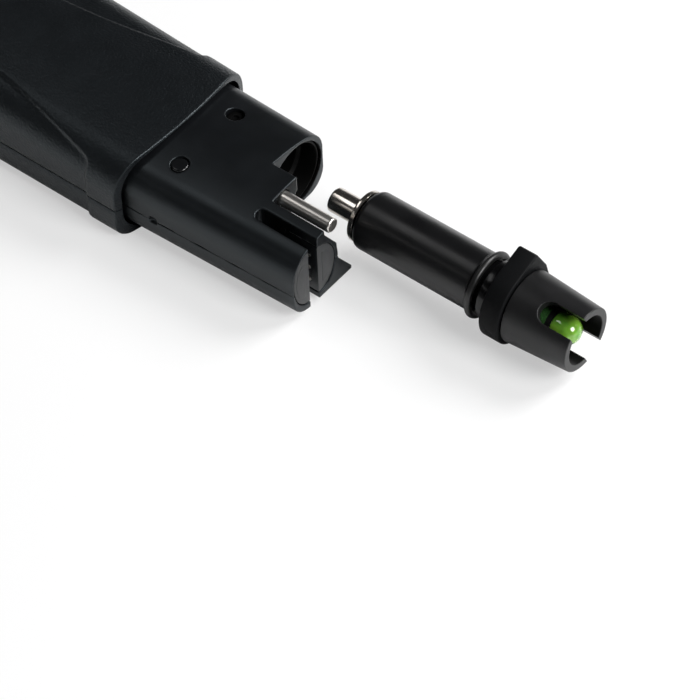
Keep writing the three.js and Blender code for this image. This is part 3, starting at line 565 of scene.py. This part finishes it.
prong = {"slotFrom": 28.3, "slotWide": 2.7, "outer": 5.05, "webEnd": 29.4, "webSide": 1.5,
         "wedge": ((9.9, -3), (10.1, 1.7)), "rising": ((6.2, -11.4), (5.8, -6.8), (4.1, -4.3), (2.3, -1.6))}
slotOuter = -neck["half"] + neck["taper"] + prong["outer"]
slotInner = slotOuter + prong["slotWide"]
tipTop = neck["top"] - neck["drop"]


def prongOutline():
    # beyond the web: all of the outer prong, and the inner prong with its wedge
    outline = [(-40, -3)] + [(slotInner + y, z) for y, z in prong["wedge"]]
    outline += [(slotInner + y, tipTop + z) for y, z in prong["rising"]]
    return outline + [(slotInner + 2, 30), (-40, 30)]


def capped(form):
    # a tube's open ends are filled
    openPiece(form, "DESELECT")
    bpy.ops.mesh.select_non_manifold()
    bpy.ops.mesh.fill_holes(sides=0)
    closePiece(form)
    return faceOut(form)


neckForm = capped(wrapped("neckForm", [neckRing(x) for x in stretch(neck["rear"], neck["length"], neck["ringStep"])
                                       + [neck["length"]]], closed=True))
# cutters and what they keep run well past the neck
web = block("web", (socket["rim"] - 1, prong["webEnd"]), (-40, prong["webSide"]), (-3, 40))
prongs = pulled("prongs", prongOutline(), prong["webEnd"] - 0.5, 50)
keep = block("keep", (-20, socket["rim"]), (-40, 40), (-3, 40))
joined(keep, web, "UNION")
joined(keep, prongs, "UNION")
joined(neckForm, keep, "INTERSECT")
joined(neckForm, turned("bore", [(-9, 0), (-9, socket["deepBore"]), (socket["deepEnd"], socket["deepBore"]),
                                 (socket["deepEnd"], socket["bore"]), (60, socket["bore"]), (60, 0)],
                        socket["y"], socket["z"], 96))
joined(neckForm, turned("room", [(socket["rim"], 0), (socket["rim"], socket["room"]), (60, socket["room"]), (60, 0)],
                        socket["y"], socket["z"], 96))
rodAt = {"y": -2.9, "z": 16.59, "radius": 1.6, "rear": 10, "tip": 41.8, "round": 0.5, "hole": 1.85,
         "holeEnds": (9, 31)}
low, high = rodAt["holeEnds"]
joined(neckForm, turned("rodHole", [(low, 0), (low, rodAt["hole"]), (high, rodAt["hole"]), (high, 0)],
                        rodAt["y"], rodAt["z"], 48))
slotCut = block("slot", (prong["slotFrom"] + prong["slotWide"] / 2, 50), (slotOuter, slotInner), (-3, 40))
joined(slotCut, post("slotEnd", prong["slotWide"] / 2, prong["slotFrom"] + prong["slotWide"] / 2,
                     (slotOuter + slotInner) / 2, (-3, 40)), "UNION")
joined(neckForm, slotCut)


# the two grey inserts, -1 for the outer prong and 1 for the inner
cell = {"bulge": {-1: 6.1, 1: 6.7}, "foot": 1.7, "below": {-1: 2.5, 1: 3.5}, "steps": 24, "clearance": 0.22,
        "overlap": 0.4, "pocketFrom": 34.2, "from": 34.3, "sunk": 0.12, "facet": (0.6, 0.68), "facetSunk": (0.8, 0.02),
        "round": 0.12}


def insertOutline(side, clearance):
    face, bulge = (slotOuter if side < 0 else slotInner), cell["bulge"][side]
    low = neck["bottom"] + cell["foot"] - clearance
    high = tipTop - cell["below"][side] + clearance
    points = []
    for i in range(cell["steps"] + 1):
        t = i / cell["steps"]
        reach = 3 * t * (1 - t) * (bulge + clearance)
        points.append((face + side * reach, low + (high - low) * t * t * (3 - 2 * t)))
    return points


for side in (-1, 1):
    outline = insertOutline(side, cell["clearance"])
    within = (slotOuter if side < 0 else slotInner) - side * cell["overlap"]
    outline = [(within, outline[0][1])] + outline + [(within, outline[-1][1])]
    joined(neckForm, pulled("pocket", outline, cell["pocketFrom"], 50))
hole = {"x": 8.4, "radius": 1.92, "plugY": -9.2, "plugFloor": 16, "screwY": 7.8, "screwFloor": 15}
notch = {"radius": 1, "x": 7.4, "y": -17.4, "z": (7.2, 8.9)}
joined(neckForm, post("plugHole", hole["radius"], hole["x"], hole["plugY"], (hole["plugFloor"], 40)))
joined(neckForm, post("screwHole", hole["radius"], hole["x"], hole["screwY"], (hole["screwFloor"], 40)))
joined(neckForm, post("notch", notch["radius"], notch["x"], notch["y"], notch["z"], 32))
for name, keepAbove, cadNode in (("neckBack", True, "probe_housing_back"),
                                 ("neckFront", False, "probe_housing_front")):
    half = neckForm.copy()
    half.data = neckForm.data.copy()
    half.name = name
    bpy.context.collection.objects.link(half)
    openPiece(half)
    cutZ = body["seam"] + (neck["seamGap"] if keepAbove else -neck["seamGap"])
    bpy.ops.mesh.bisect(plane_co=spot(0, 0, cutZ), plane_no=(0, 0, 1), use_fill=True,
                        clear_inner=keepAbove, clear_outer=not keepAbove)
    closePiece(half)
    fineSkin(half, *neck["skin"])
    dressed(half, "satinNeck", "housing_black", "tester", cadNode)
    # painted shade on the inside faces of the socket bore
    paintBoreShade(half, socket["bore"] + 0.3)
    print(name, len(half.data.polygons))
bpy.data.objects.remove(neckForm)

for name, side, cadNode in (("cellInsertOuter", -1, "cell_insert_outer"),
                            ("cellInsertInner", 1, "cell_insert_inner")):
    outline = insertOutline(side, 0)
    insert = pulled(name, outline, cell["from"], neck["length"] - cell["sunk"])
    middle = [sum(values) / len(outline) for values in zip(*outline)]
    wide, tall = cell["facet"]
    raised = [(middle[0] + wide * (y - middle[0]), middle[1] + tall * (z - middle[1])) for y, z in outline]
    low, high = cell["facetSunk"]
    together(insert, pulled("facet", raised, neck["length"] - low, neck["length"] - high))
    bevelled(insert, cell["round"], 2)
    dressed(insert, "cellGrey", "insert_grey", "tester", cadNode)
    insert.data.materials.append(finishes["satinNeck"])
    for facet in insert.data.polygons:
        facet.material_index = 0 if facet.normal.x > 0.3 else 1

rod = turned("temperatureRod", [(rodAt["rear"], 0), (rodAt["rear"], rodAt["radius"])]
             + arc(rodAt["tip"] - rodAt["round"], rodAt["radius"] - rodAt["round"], rodAt["round"], 90, 0, 6)
             + [(rodAt["tip"], 0)], rodAt["y"], rodAt["z"], 64)
smoothed(rod, 40)
dressed(rod, "turnedSteel", "steel", "tester", "temperature_rod")
plugAt = {"radius": 1.8, "z": (16.7, 18.2), "round": 0.4}
plug = post("screwPlug", plugAt["radius"], hole["x"], hole["plugY"], plugAt["z"], 64)
bevelled(plug, plugAt["round"], 6)
dressed(plug, "plugGloss", "housing_black", "tester", "housing_screw_plug")
setAt = {"radius": 1.7, "z": (16.85, 17.35), "hex": 0.8, "hexDepth": (17.0, 18), "round": 0.05}
setScrew = post("setScrew", setAt["radius"], hole["x"], hole["screwY"], setAt["z"], 48)
joined(setScrew, post("hex", setAt["hex"], hole["x"], hole["screwY"], setAt["hexDepth"], 6))
bevelled(setScrew, setAt["round"], 2)
# the set screw is painted near black as shade for its hole
dressed(setScrew, "setScrewHoleShade", "steel", "tester", "socket_set_screw")
lining = {"round": 0.08, "profile": [
    (-23.4, 4.4), (-23.4, 7.1), (16.6, 7.1), (16.6, 7.7), (22.7, 7.7), (22.7, 7.3), (18.6, 7.3), (18, 6.5),
    (-21.9, 6.5), (-21.9, 4.4), (-23.4, 4.4)]}
liner = turned("socketLiner", lining["profile"], socket["y"], socket["z"], 72)
bevelled(liner, lining["round"], 2)
dressed(liner, "linerBlackAndBoreShade", "tube_black", "tester", "socket_sleeve")
print("neck dressed")


def onElectrode(name, profile, sides=72):
    return turned(name, [(electrodeX + along, radius) for along, radius in profile], socket["y"], socket["z"], sides)


def twisted(piece, angle=twist):
    # turned about the electrode's axis
    openPiece(piece)
    bpy.ops.transform.rotate(value=-angle, orient_axis="X", center_override=spot(0, socket["y"], socket["z"]))
    return closePiece(piece)


contact = {
    "pin": [(0, 0)] + arc(0.5, 2.15, 0.5, 180, 90, 5) + [(6.2, 2.65), (6.2, 0.9), (12.2, 0.9), (12.2, 0)],
    "ring": [(6.5, 2.2), (6.5, 3.7), (6.9, 4.1), (7.3, 4.2), (7.3, 5.2)] + arc(7.6, 5.2, 0.3, 180, 90, 4)
    + [(8.4, 5.5), (8.4, 4.4), (10.7, 4.4), (10.7, 2.2), (6.5, 2.2)],
    "ringRound": 0.07,
}
pin = onElectrode("contactPin", contact["pin"])
smoothed(pin, 40)
dressed(pin, "polishedNickel", "nickel", "electrode", "contact_pin")
ring = onElectrode("contactRing", contact["ring"])
bevelled(ring, contact["ringRound"], 2)
dressed(ring, "polishedNickel", "nickel", "electrode", "contact_ring")
barrel = {"round": 0.09, "glossFrom": 37, "profile": [(8.7, 4.7), (8.7, 4.9)] + arc(10.05, 4.9, 1.35, 180, 90, 8) + [
    (36.6, 6.25), (36.75, 6.45), (36.95, 6.45), (37, 5.4), (39.4, 5.4), (39.45, 6.15), (41.7, 6.15), (41.7, 5.4),
    (46.4, 5.4), (46.4, 4.7), (8.7, 4.7)]}
tube = onElectrode("electrodeTube", barrel["profile"], 96)
bevelled(tube, barrel["round"], 3)
dressed(tube, "tubeSatin", "tube_black", "electrode", "electrode_tube")
tube.data.materials.append(finishes["grooveGloss"])
for facet in tube.data.polygons:
    if facet.center.x > spot(electrodeX + barrel["glossFrom"], 0, 0).x:
        facet.material_index = 1

sealing = {"at": 37.85, "radius": 6.45, "thick": 0.75}
bpy.ops.object.select_all(action="DESELECT")
bpy.ops.mesh.primitive_torus_add(major_radius=sealing["radius"] * mm, minor_radius=sealing["thick"] * mm,
                                 major_segments=96, minor_segments=20, rotation=(0, math.pi / 2, 0),
                                 location=spot(electrodeX + sealing["at"], socket["y"], socket["z"]))
seal = closePiece(newest("sealRing"))
smoothed(seal, 60)
dressed(seal, "sealRubber", "rubber_black", "seal_ring", "electrode_o_ring")

lock = {"ends": (42, 46.4), "bore": 5.7, "round": 0.3,
        "line": arc(0, 0, 8.6, 90, 360, 64) + [(8.7, 2.4), (7.45, 8.0), (7.33, 8.35), (6.95, 8.6)]}
collar = pulled("lockCollar", [(socket["y"] + y, socket["z"] + z) for y, z in lock["line"]],
                *[electrodeX + end for end in lock["ends"]])
joined(collar, onElectrode("collarBore", [(41, 0), (41, lock["bore"]), (48, lock["bore"]), (48, 0)]))
twisted(collar)
bevelled(collar, lock["round"], 3)
dressed(collar, "collarMatte", "tube_black", "electrode", "lock_collar")

guard = {"profile": [(46.7, 2.5), (46.7, 7.8), (61.2, 6.9), (61.2, 5.3), (48.1, 5.3), (48.1, 2.5), (46.7, 2.5)],
         "windowFrom": 54.95, "windowHalf": 2.35, "windowTurn": 0.168, "skin": (0.16, 3), "boreShadeWithin": 5.6}
sleeve = onElectrode("guardSleeve", guard["profile"], 96)
windowX = electrodeX + guard["windowFrom"]
windowCut = block("window", (windowX, electrodeX + 70),
                  (socket["y"] - guard["windowHalf"], socket["y"] + guard["windowHalf"]), (-20, 40))
joined(windowCut, post("windowEnd", guard["windowHalf"], windowX, socket["y"], (-20, 40), 64), "UNION")
twisted(windowCut, guard["windowTurn"])
joined(sleeve, windowCut)
twisted(sleeve)
fineSkin(sleeve, *guard["skin"])
dressed(sleeve, "sleeveSatin", "tube_black", "electrode", "guard_sleeve")
# painted shade on the sleeve's inner faces, within this distance of the axis
paintBoreShade(sleeve, guard["boreShadeWithin"])

bulb = {"centre": 56.8, "rear": 54.2, "radius": 3, "neck": 2.5, "fill": 2.6, "fillGap": 0.05, "stem": 2.7,
        "stemBore": 2.2, "stemRear": 13.7, "stemNarrow": 2.4, "stemWidens": (47.5, 48.2), "stemRound": 0.09,
        "stemGap": 0.05, "band": 1.1}
outside = [(bulb["rear"], bulb["neck"])] + arc(bulb["rear"] + 0.5, bulb["radius"] - 0.5, 0.5, 180, 90, 5)
outside += arc(bulb["centre"], 0, bulb["radius"], 90, 0, 16)
inside = arc(bulb["centre"], 0, bulb["fill"], 0, 90, 16) + [(bulb["rear"] + 0.3, bulb["fill"]),
                                                           (bulb["rear"], bulb["neck"])]
glass = onElectrode("glassBulb", outside + inside, 64)
smoothed(glass, 50)
dressed(glass, "bulbGlass", "clear_glass", "electrode", "glass_bulb")
fillRadius = bulb["fill"] - bulb["fillGap"]
liquid = onElectrode("bulbLiquid", [(bulb["rear"] + 0.4, 0), (bulb["rear"] + 0.4, fillRadius)]
                     + arc(bulb["centre"], 0, fillRadius, 90, 0, 16), 64)
smoothed(liquid, 50)
dressed(liquid, "bulbLiquid", "bulb_green", "electrode", "bulb_fill")
stemEnd = bulb["rear"] - bulb["stemGap"]
bandFrom = stemEnd - bulb["band"]
widenFrom, widenTo = bulb["stemWidens"]
stem = onElectrode("glassStem", [(bulb["stemRear"], bulb["stemBore"]), (bulb["stemRear"], bulb["stemNarrow"]),
                                 (widenFrom, bulb["stemNarrow"]), (widenTo, bulb["stem"]), (bandFrom, bulb["stem"]),
                                 (stemEnd, bulb["stem"]), (stemEnd, bulb["stemBore"]), (bandFrom, bulb["stemBore"]),
                                 (bulb["stemRear"], bulb["stemBore"])], 64)
bevelled(stem, bulb["stemRound"], 2)
# stem green: the gel's own colour, darkened as painted shade
dressed(stem, "stemGlass", "clear_glass", "electrode", "glass_stem")
stem.data.materials.append(finishes["sealRubber"])
for facet in stem.data.polygons:
    if facet.center.x > spot(electrodeX + bandFrom, 0, 0).x:
        facet.material_index = 1
print("electrode dressed")

cover = {"rear": -120, "front": -110.4, "half": 19.4, "low": 0.08, "lowRadius": 3.5, "round": 1.6, "wall": 2,
         "upperCounts": (7, 20, 18), "lowerCounts": (5, 12, 12), "ringStep": 1.5, "room": (-118, -114, -105),
         "post": 3.6, "postGap": 0.3, "bore": 1.7, "headBore": 2.6, "headDepth": 3.2, "skin": (0.34, 3),
         "screws": {"cover_screw_2": (-14, 19.7), "cover_screw_4": (14, 19.7), "cover_screw_1": (-14.5, 5.2),
                    "cover_screw_3": (14.5, 5.2)}}


def coverRing(x, inset):
    half = cover["half"] - inset
    upper = cornerPath(half, backHigh(x) - inset, body["topRadius"] - inset, body["crown"], body["seam"],
                       cover["upperCounts"])
    lower = lowPath(half, cover["low"] + inset, cover["lowRadius"] - min(inset, 2), body["seam"],
                    cover["lowerCounts"])
    over = [(x, y, z) for y, z, *rest in upper]
    under = [(x, y, z) for y, z, *rest in lower][1:]
    return ([(x, -y, z) for x, y, z in under[::-1][:-1]] + [(x, -y, z) for x, y, z in over] + over[-2::-1] + under)


def coverForm(name, stations):
    return capped(wrapped(name, [coverRing(x, inset) for x, inset in stations], closed=True))


rounding = [(cover["rear"] + cover["round"] * (1 - math.cos(t)), cover["round"] * (1 - math.sin(t)))
            for t in [math.pi / 2 * i / 6 for i in range(7)]]
coverPiece = coverForm("batteryCover", rounding + [(x, 0) for x in stretch(-117.5, cover["front"], cover["ringStep"])]
                       + [(cover["front"], 0)])
joined(coverPiece, coverForm("coverRoom", [(x, cover["wall"]) for x in cover["room"]]))
postEnd = cover["front"] - cover["postGap"]
headEnd = cover["rear"] + cover["headDepth"]
for y, z in cover["screws"].values():
    joined(coverPiece, turned("post", [(-118.7, 0), (-118.7, cover["post"]), (postEnd, cover["post"]), (postEnd, 0)],
                              y, z, 32), "UNION")
    joined(coverPiece, turned("headBore", [(-125, 0), (-125, cover["headBore"]), (headEnd, cover["headBore"]),
                                           (headEnd, cover["bore"]), (-100, cover["bore"]), (-100, 0)], y, z, 32))
fineSkin(coverPiece, *cover["skin"])
dressed(coverPiece, "grainedShell", "shell_black", "cover", "battery_cover")
print("battery cover", len(coverPiece.data.polygons))

screw = {"head": 2.3, "headAt": (-118.8, -117.1), "dome": ((0.08, 1.2), (0.4, 2), (0.8, 2.3)), "shank": 1.25,
         "tip": -104.4, "cross": (0.5, 2.6, 1), "round": 0.06}


def coverScrew(name, y, z):
    start, end = screw["headAt"]
    piece = turned(name, [(start, 0)] + [(start + along, radius) for along, radius in screw["dome"]]
                   + [(end, screw["head"]), (end, screw["shank"]), (screw["tip"] - 1, screw["shank"]),
                      (screw["tip"], 0)], y, z, 40)
    width, reach, depth = screw["cross"]
    for wide, tall in ((width, reach), (reach, width)):
        joined(piece, block("cross", (start - 1, start + depth), (y - wide / 2, y + wide / 2),
                            (z - tall / 2, z + tall / 2)))
    return bevelled(piece, screw["round"], 2)


def copied(piece, name, shift):
    # a copy with its own mesh, moved by a shift in Y and Z
    twin = piece.copy()
    twin.data = piece.data.copy()
    twin.name = name
    bpy.context.collection.objects.link(twin)
    openPiece(twin)
    bpy.ops.transform.translate(value=(0, shift[0] * mm, shift[1] * mm))
    return closePiece(twin)


firstScrew = None
for cadNode, (y, z) in cover["screws"].items():
    if firstScrew is None:
        piece = firstScrew = coverScrew("coverScrewA", y, z)
        firstY, firstZ = y, z
    else:
        piece = copied(firstScrew, "coverScrew" + cadNode[-1], (y - firstY, z - firstZ))
    dressed(piece, "turnedSteel", "steel", "cover", cadNode)

keyLeft = post("keyLeft", front["keyRadius"], front["keyX"], -front["keyY"], front["keyDepth"], 72)
openParts(keyLeft, "FACE", lambda facet: facet.normal.z < -0.9)
rim, dish = front["keyInsets"]
bpy.ops.mesh.inset(thickness=rim * mm)
bpy.ops.mesh.inset(thickness=dish * mm, depth=-front["keyDish"] * mm)
closePiece(keyLeft)
bevelled(keyLeft, 0.3, 4, 20)
skirt = post("skirt", front["keyRim"], front["keyX"], -front["keyY"], front["rimDepth"], 72)
bevelled(skirt, 0.15, 2)
together(keyLeft, skirt)
dressed(keyLeft, "keyRubber", "key_grey", "left_button", "button_left")
keyRight = copied(keyLeft, "keyRight", (2 * front["keyY"], 0))
dressed(keyRight, "keyRubber", "key_grey", "right_button", "button_right")

low, high = front["x"]
gap = front["filmGap"]
film = roundedSlab("frontFilm", (low + gap, high - gap), (-front["half"] + gap, front["half"] - gap), front["film"],
                   front["corner"] - gap)
joined(film, faceOpening((-1, 3)))
bevelled(film, 0.08, 2)
dressed(film, "overlayFilm", "overlay_grey", "tester", "front_overlay")
halfX, halfY = front["pane"]
windowPane = roundedSlab("displayPane", (front["displayX"] - halfX, front["displayX"] + halfX), (-halfY, halfY),
                         front["paneDepth"], front["paneCorner"])
bevelled(windowPane, 0.2, 3)
dressed(windowPane, "clearGlass", "clear_glass", "tester", "display_window")
halfX, halfY = front["screen"]
screen = block("displayScreen", (front["displayX"] - halfX, front["displayX"] + halfX), (-halfY, halfY),
               front["screenDepth"])
openParts(screen, "FACE", lambda facet: facet.normal.z < -0.9)
frameWide, frameDeep = front["screenFrame"]
bpy.ops.mesh.inset(thickness=frameWide * mm, depth=-frameDeep * mm)
closePiece(screen)
dressed(screen, "chipBlack", "display_glass", "tester", "display_module")
screen.data.materials.append(finishes["displayGreen"])
for facet in screen.data.polygons:
    facet.material_index = 1 if facet.normal.z < -0.9 and facet.center.z > 2.35 * mm else 0
print("front face dressed")

# nodes that keep their own shape
nodeFinish = {
    "polishedNickel": ["battery_contact_left", "battery_contact_right"],
    "turnedSteel": ["housing_screw", "cell_pin_1", "cell_pin_2", "cell_pin_3", "board_screw_1", "board_screw_2",
                    "button_cell_1", "button_cell_2", "button_cell_3", "button_cell_4", "inner_wire"],
    "warmBrass": ["socket_centre_contact", "socket_ring_contact"],
    "boardGreen": ["main_board"],
    "chipBlack": ["microcontroller", "amplifier_chip", "switch_left", "switch_right", "battery_tray",
                  "contact_insulator"],
    "paleGel": ["gel_fill"],
    "wickWhite": ["junction_wick"],
    "leadRed": ["socket_lead", "cell_lead"],
    "sealRubber": ["display_strip_left", "display_strip_right", "cover_gasket", "seal_plug"],
}
for finishName, names in nodeFinish.items():
    for name in names:
        nodes[name].data.materials.clear()
        nodes[name].data.materials.append(finishes[finishName])

stage = {"size": 6, "drop": 0.0002, "tone": 0.96, "lift": 0.5}
bpy.ops.object.select_all(action="DESELECT")
bpy.ops.mesh.primitive_plane_add(size=stage["size"], location=(0, 0, -stage["drop"]))
floor = newest("paleFloor")
paper = bpy.data.materials.new("palePaper")
paper.use_nodes = True
paperTree = paper.node_tree
paperTree.nodes.clear()
output = paperTree.nodes.new("ShaderNodeOutputMaterial")
matte = paperTree.nodes.new("ShaderNodeBsdfDiffuse")
matte.inputs["Color"].default_value = (stage["tone"], stage["tone"], stage["tone"], 1)
glow = paperTree.nodes.new("ShaderNodeEmission")
blend = paperTree.nodes.new("ShaderNodeMixShader")
rays = paperTree.nodes.new("ShaderNodeLightPath")
share = paperTree.nodes.new("ShaderNodeMath")
share.operation = "MULTIPLY"
share.inputs[1].default_value = stage["lift"]
paperTree.links.new(rays.outputs["Is Camera Ray"], share.inputs[0])
paperTree.links.new(share.outputs["Value"], blend.inputs["Fac"])
paperTree.links.new(matte.outputs["BSDF"], blend.inputs[1])
paperTree.links.new(glow.outputs["Emission"], blend.inputs[2])
paperTree.links.new(blend.outputs["Shader"], output.inputs["Surface"])
floor.data.materials.append(paper)

world = bpy.data.worlds.new("softRoom")
bpy.context.scene.world = world
world.use_nodes = True
sky = world.node_tree.nodes["Background"]
sky.inputs["Color"].default_value = (0.95, 0.97, 1, 1)
way = world.node_tree.nodes.new("ShaderNodeTexCoord")
parts = world.node_tree.nodes.new("ShaderNodeSeparateXYZ")
room = {"From Min": 0, "From Max": 0.35, "To Min": 0.25, "To Max": 0.03}  # pale walls, dark ceiling
dusk = world.node_tree.nodes.new("ShaderNodeMapRange")
for socketName, value in room.items():
    dusk.inputs[socketName].default_value = value
world.node_tree.links.new(way.outputs["Generated"], parts.inputs["Vector"])
world.node_tree.links.new(parts.outputs["Z"], dusk.inputs["Value"])
world.node_tree.links.new(dusk.outputs["Result"], sky.inputs["Strength"])

# lamps face the object's middle, place and size in metres
lamps = {
    "rear": {"place": (0.5, 0.8, 0.8), "size": (0.6, 0.6), "power": 12.5},
    "side": {"place": (0.95, 0.05, 0.7), "size": (0.5, 0.5), "power": 11},
    "stripHigh": {"place": (-0.46, -0.1, 0.98), "size": (0.5, 0.22), "power": 0.8},
    "stripLow": {"place": (-0.46, -0.68, 0.6), "size": (0.5, 0.08), "power": 0.13},
}
for name, lamp in lamps.items():
    light = bpy.data.lights.new(name, "AREA")
    light.shape = "RECTANGLE"
    light.size, light.size_y = lamp["size"]
    light.energy = lamp["power"]
    holder = bpy.data.objects.new(name, light)
    holder.location = lamp["place"]
    holder.rotation_euler = (Vector((0.03, 0, 0)) - Vector(lamp["place"])).to_track_quat("-Z", "Y").to_euler()
    bpy.context.collection.objects.link(holder)

shot = {"azimuth": 40.1, "elevation": 49.08, "roll": -2.11, "distance": 672.6, "lens": 178.6,
        "target": (54.87, -14.67, 0)}
azimuth, elevation, roll = [math.radians(shot[key]) for key in ("azimuth", "elevation", "roll")]
back = Vector((math.sin(azimuth) * math.cos(elevation), -math.cos(azimuth) * math.cos(elevation), math.sin(elevation)))
right = Vector((math.cos(azimuth), math.sin(azimuth), 0))
up = back.cross(right)
right, up = (right * math.cos(roll) + up * math.sin(roll), up * math.cos(roll) - right * math.sin(roll))
camera = bpy.data.objects.new("camera", bpy.data.cameras.new("camera"))
camera.data.lens = shot["lens"]
camera.data.clip_end = 20
camera.matrix_world = Matrix.Translation(spot(*shot["target"]) + back * shot["distance"] * mm) @ Matrix(
    (right, up, back)).transposed().to_4x4()
bpy.context.collection.objects.link(camera)
bpy.context.scene.camera = camera
bpy.context.scene.view_settings.view_transform = "Standard"

print("scene ready")
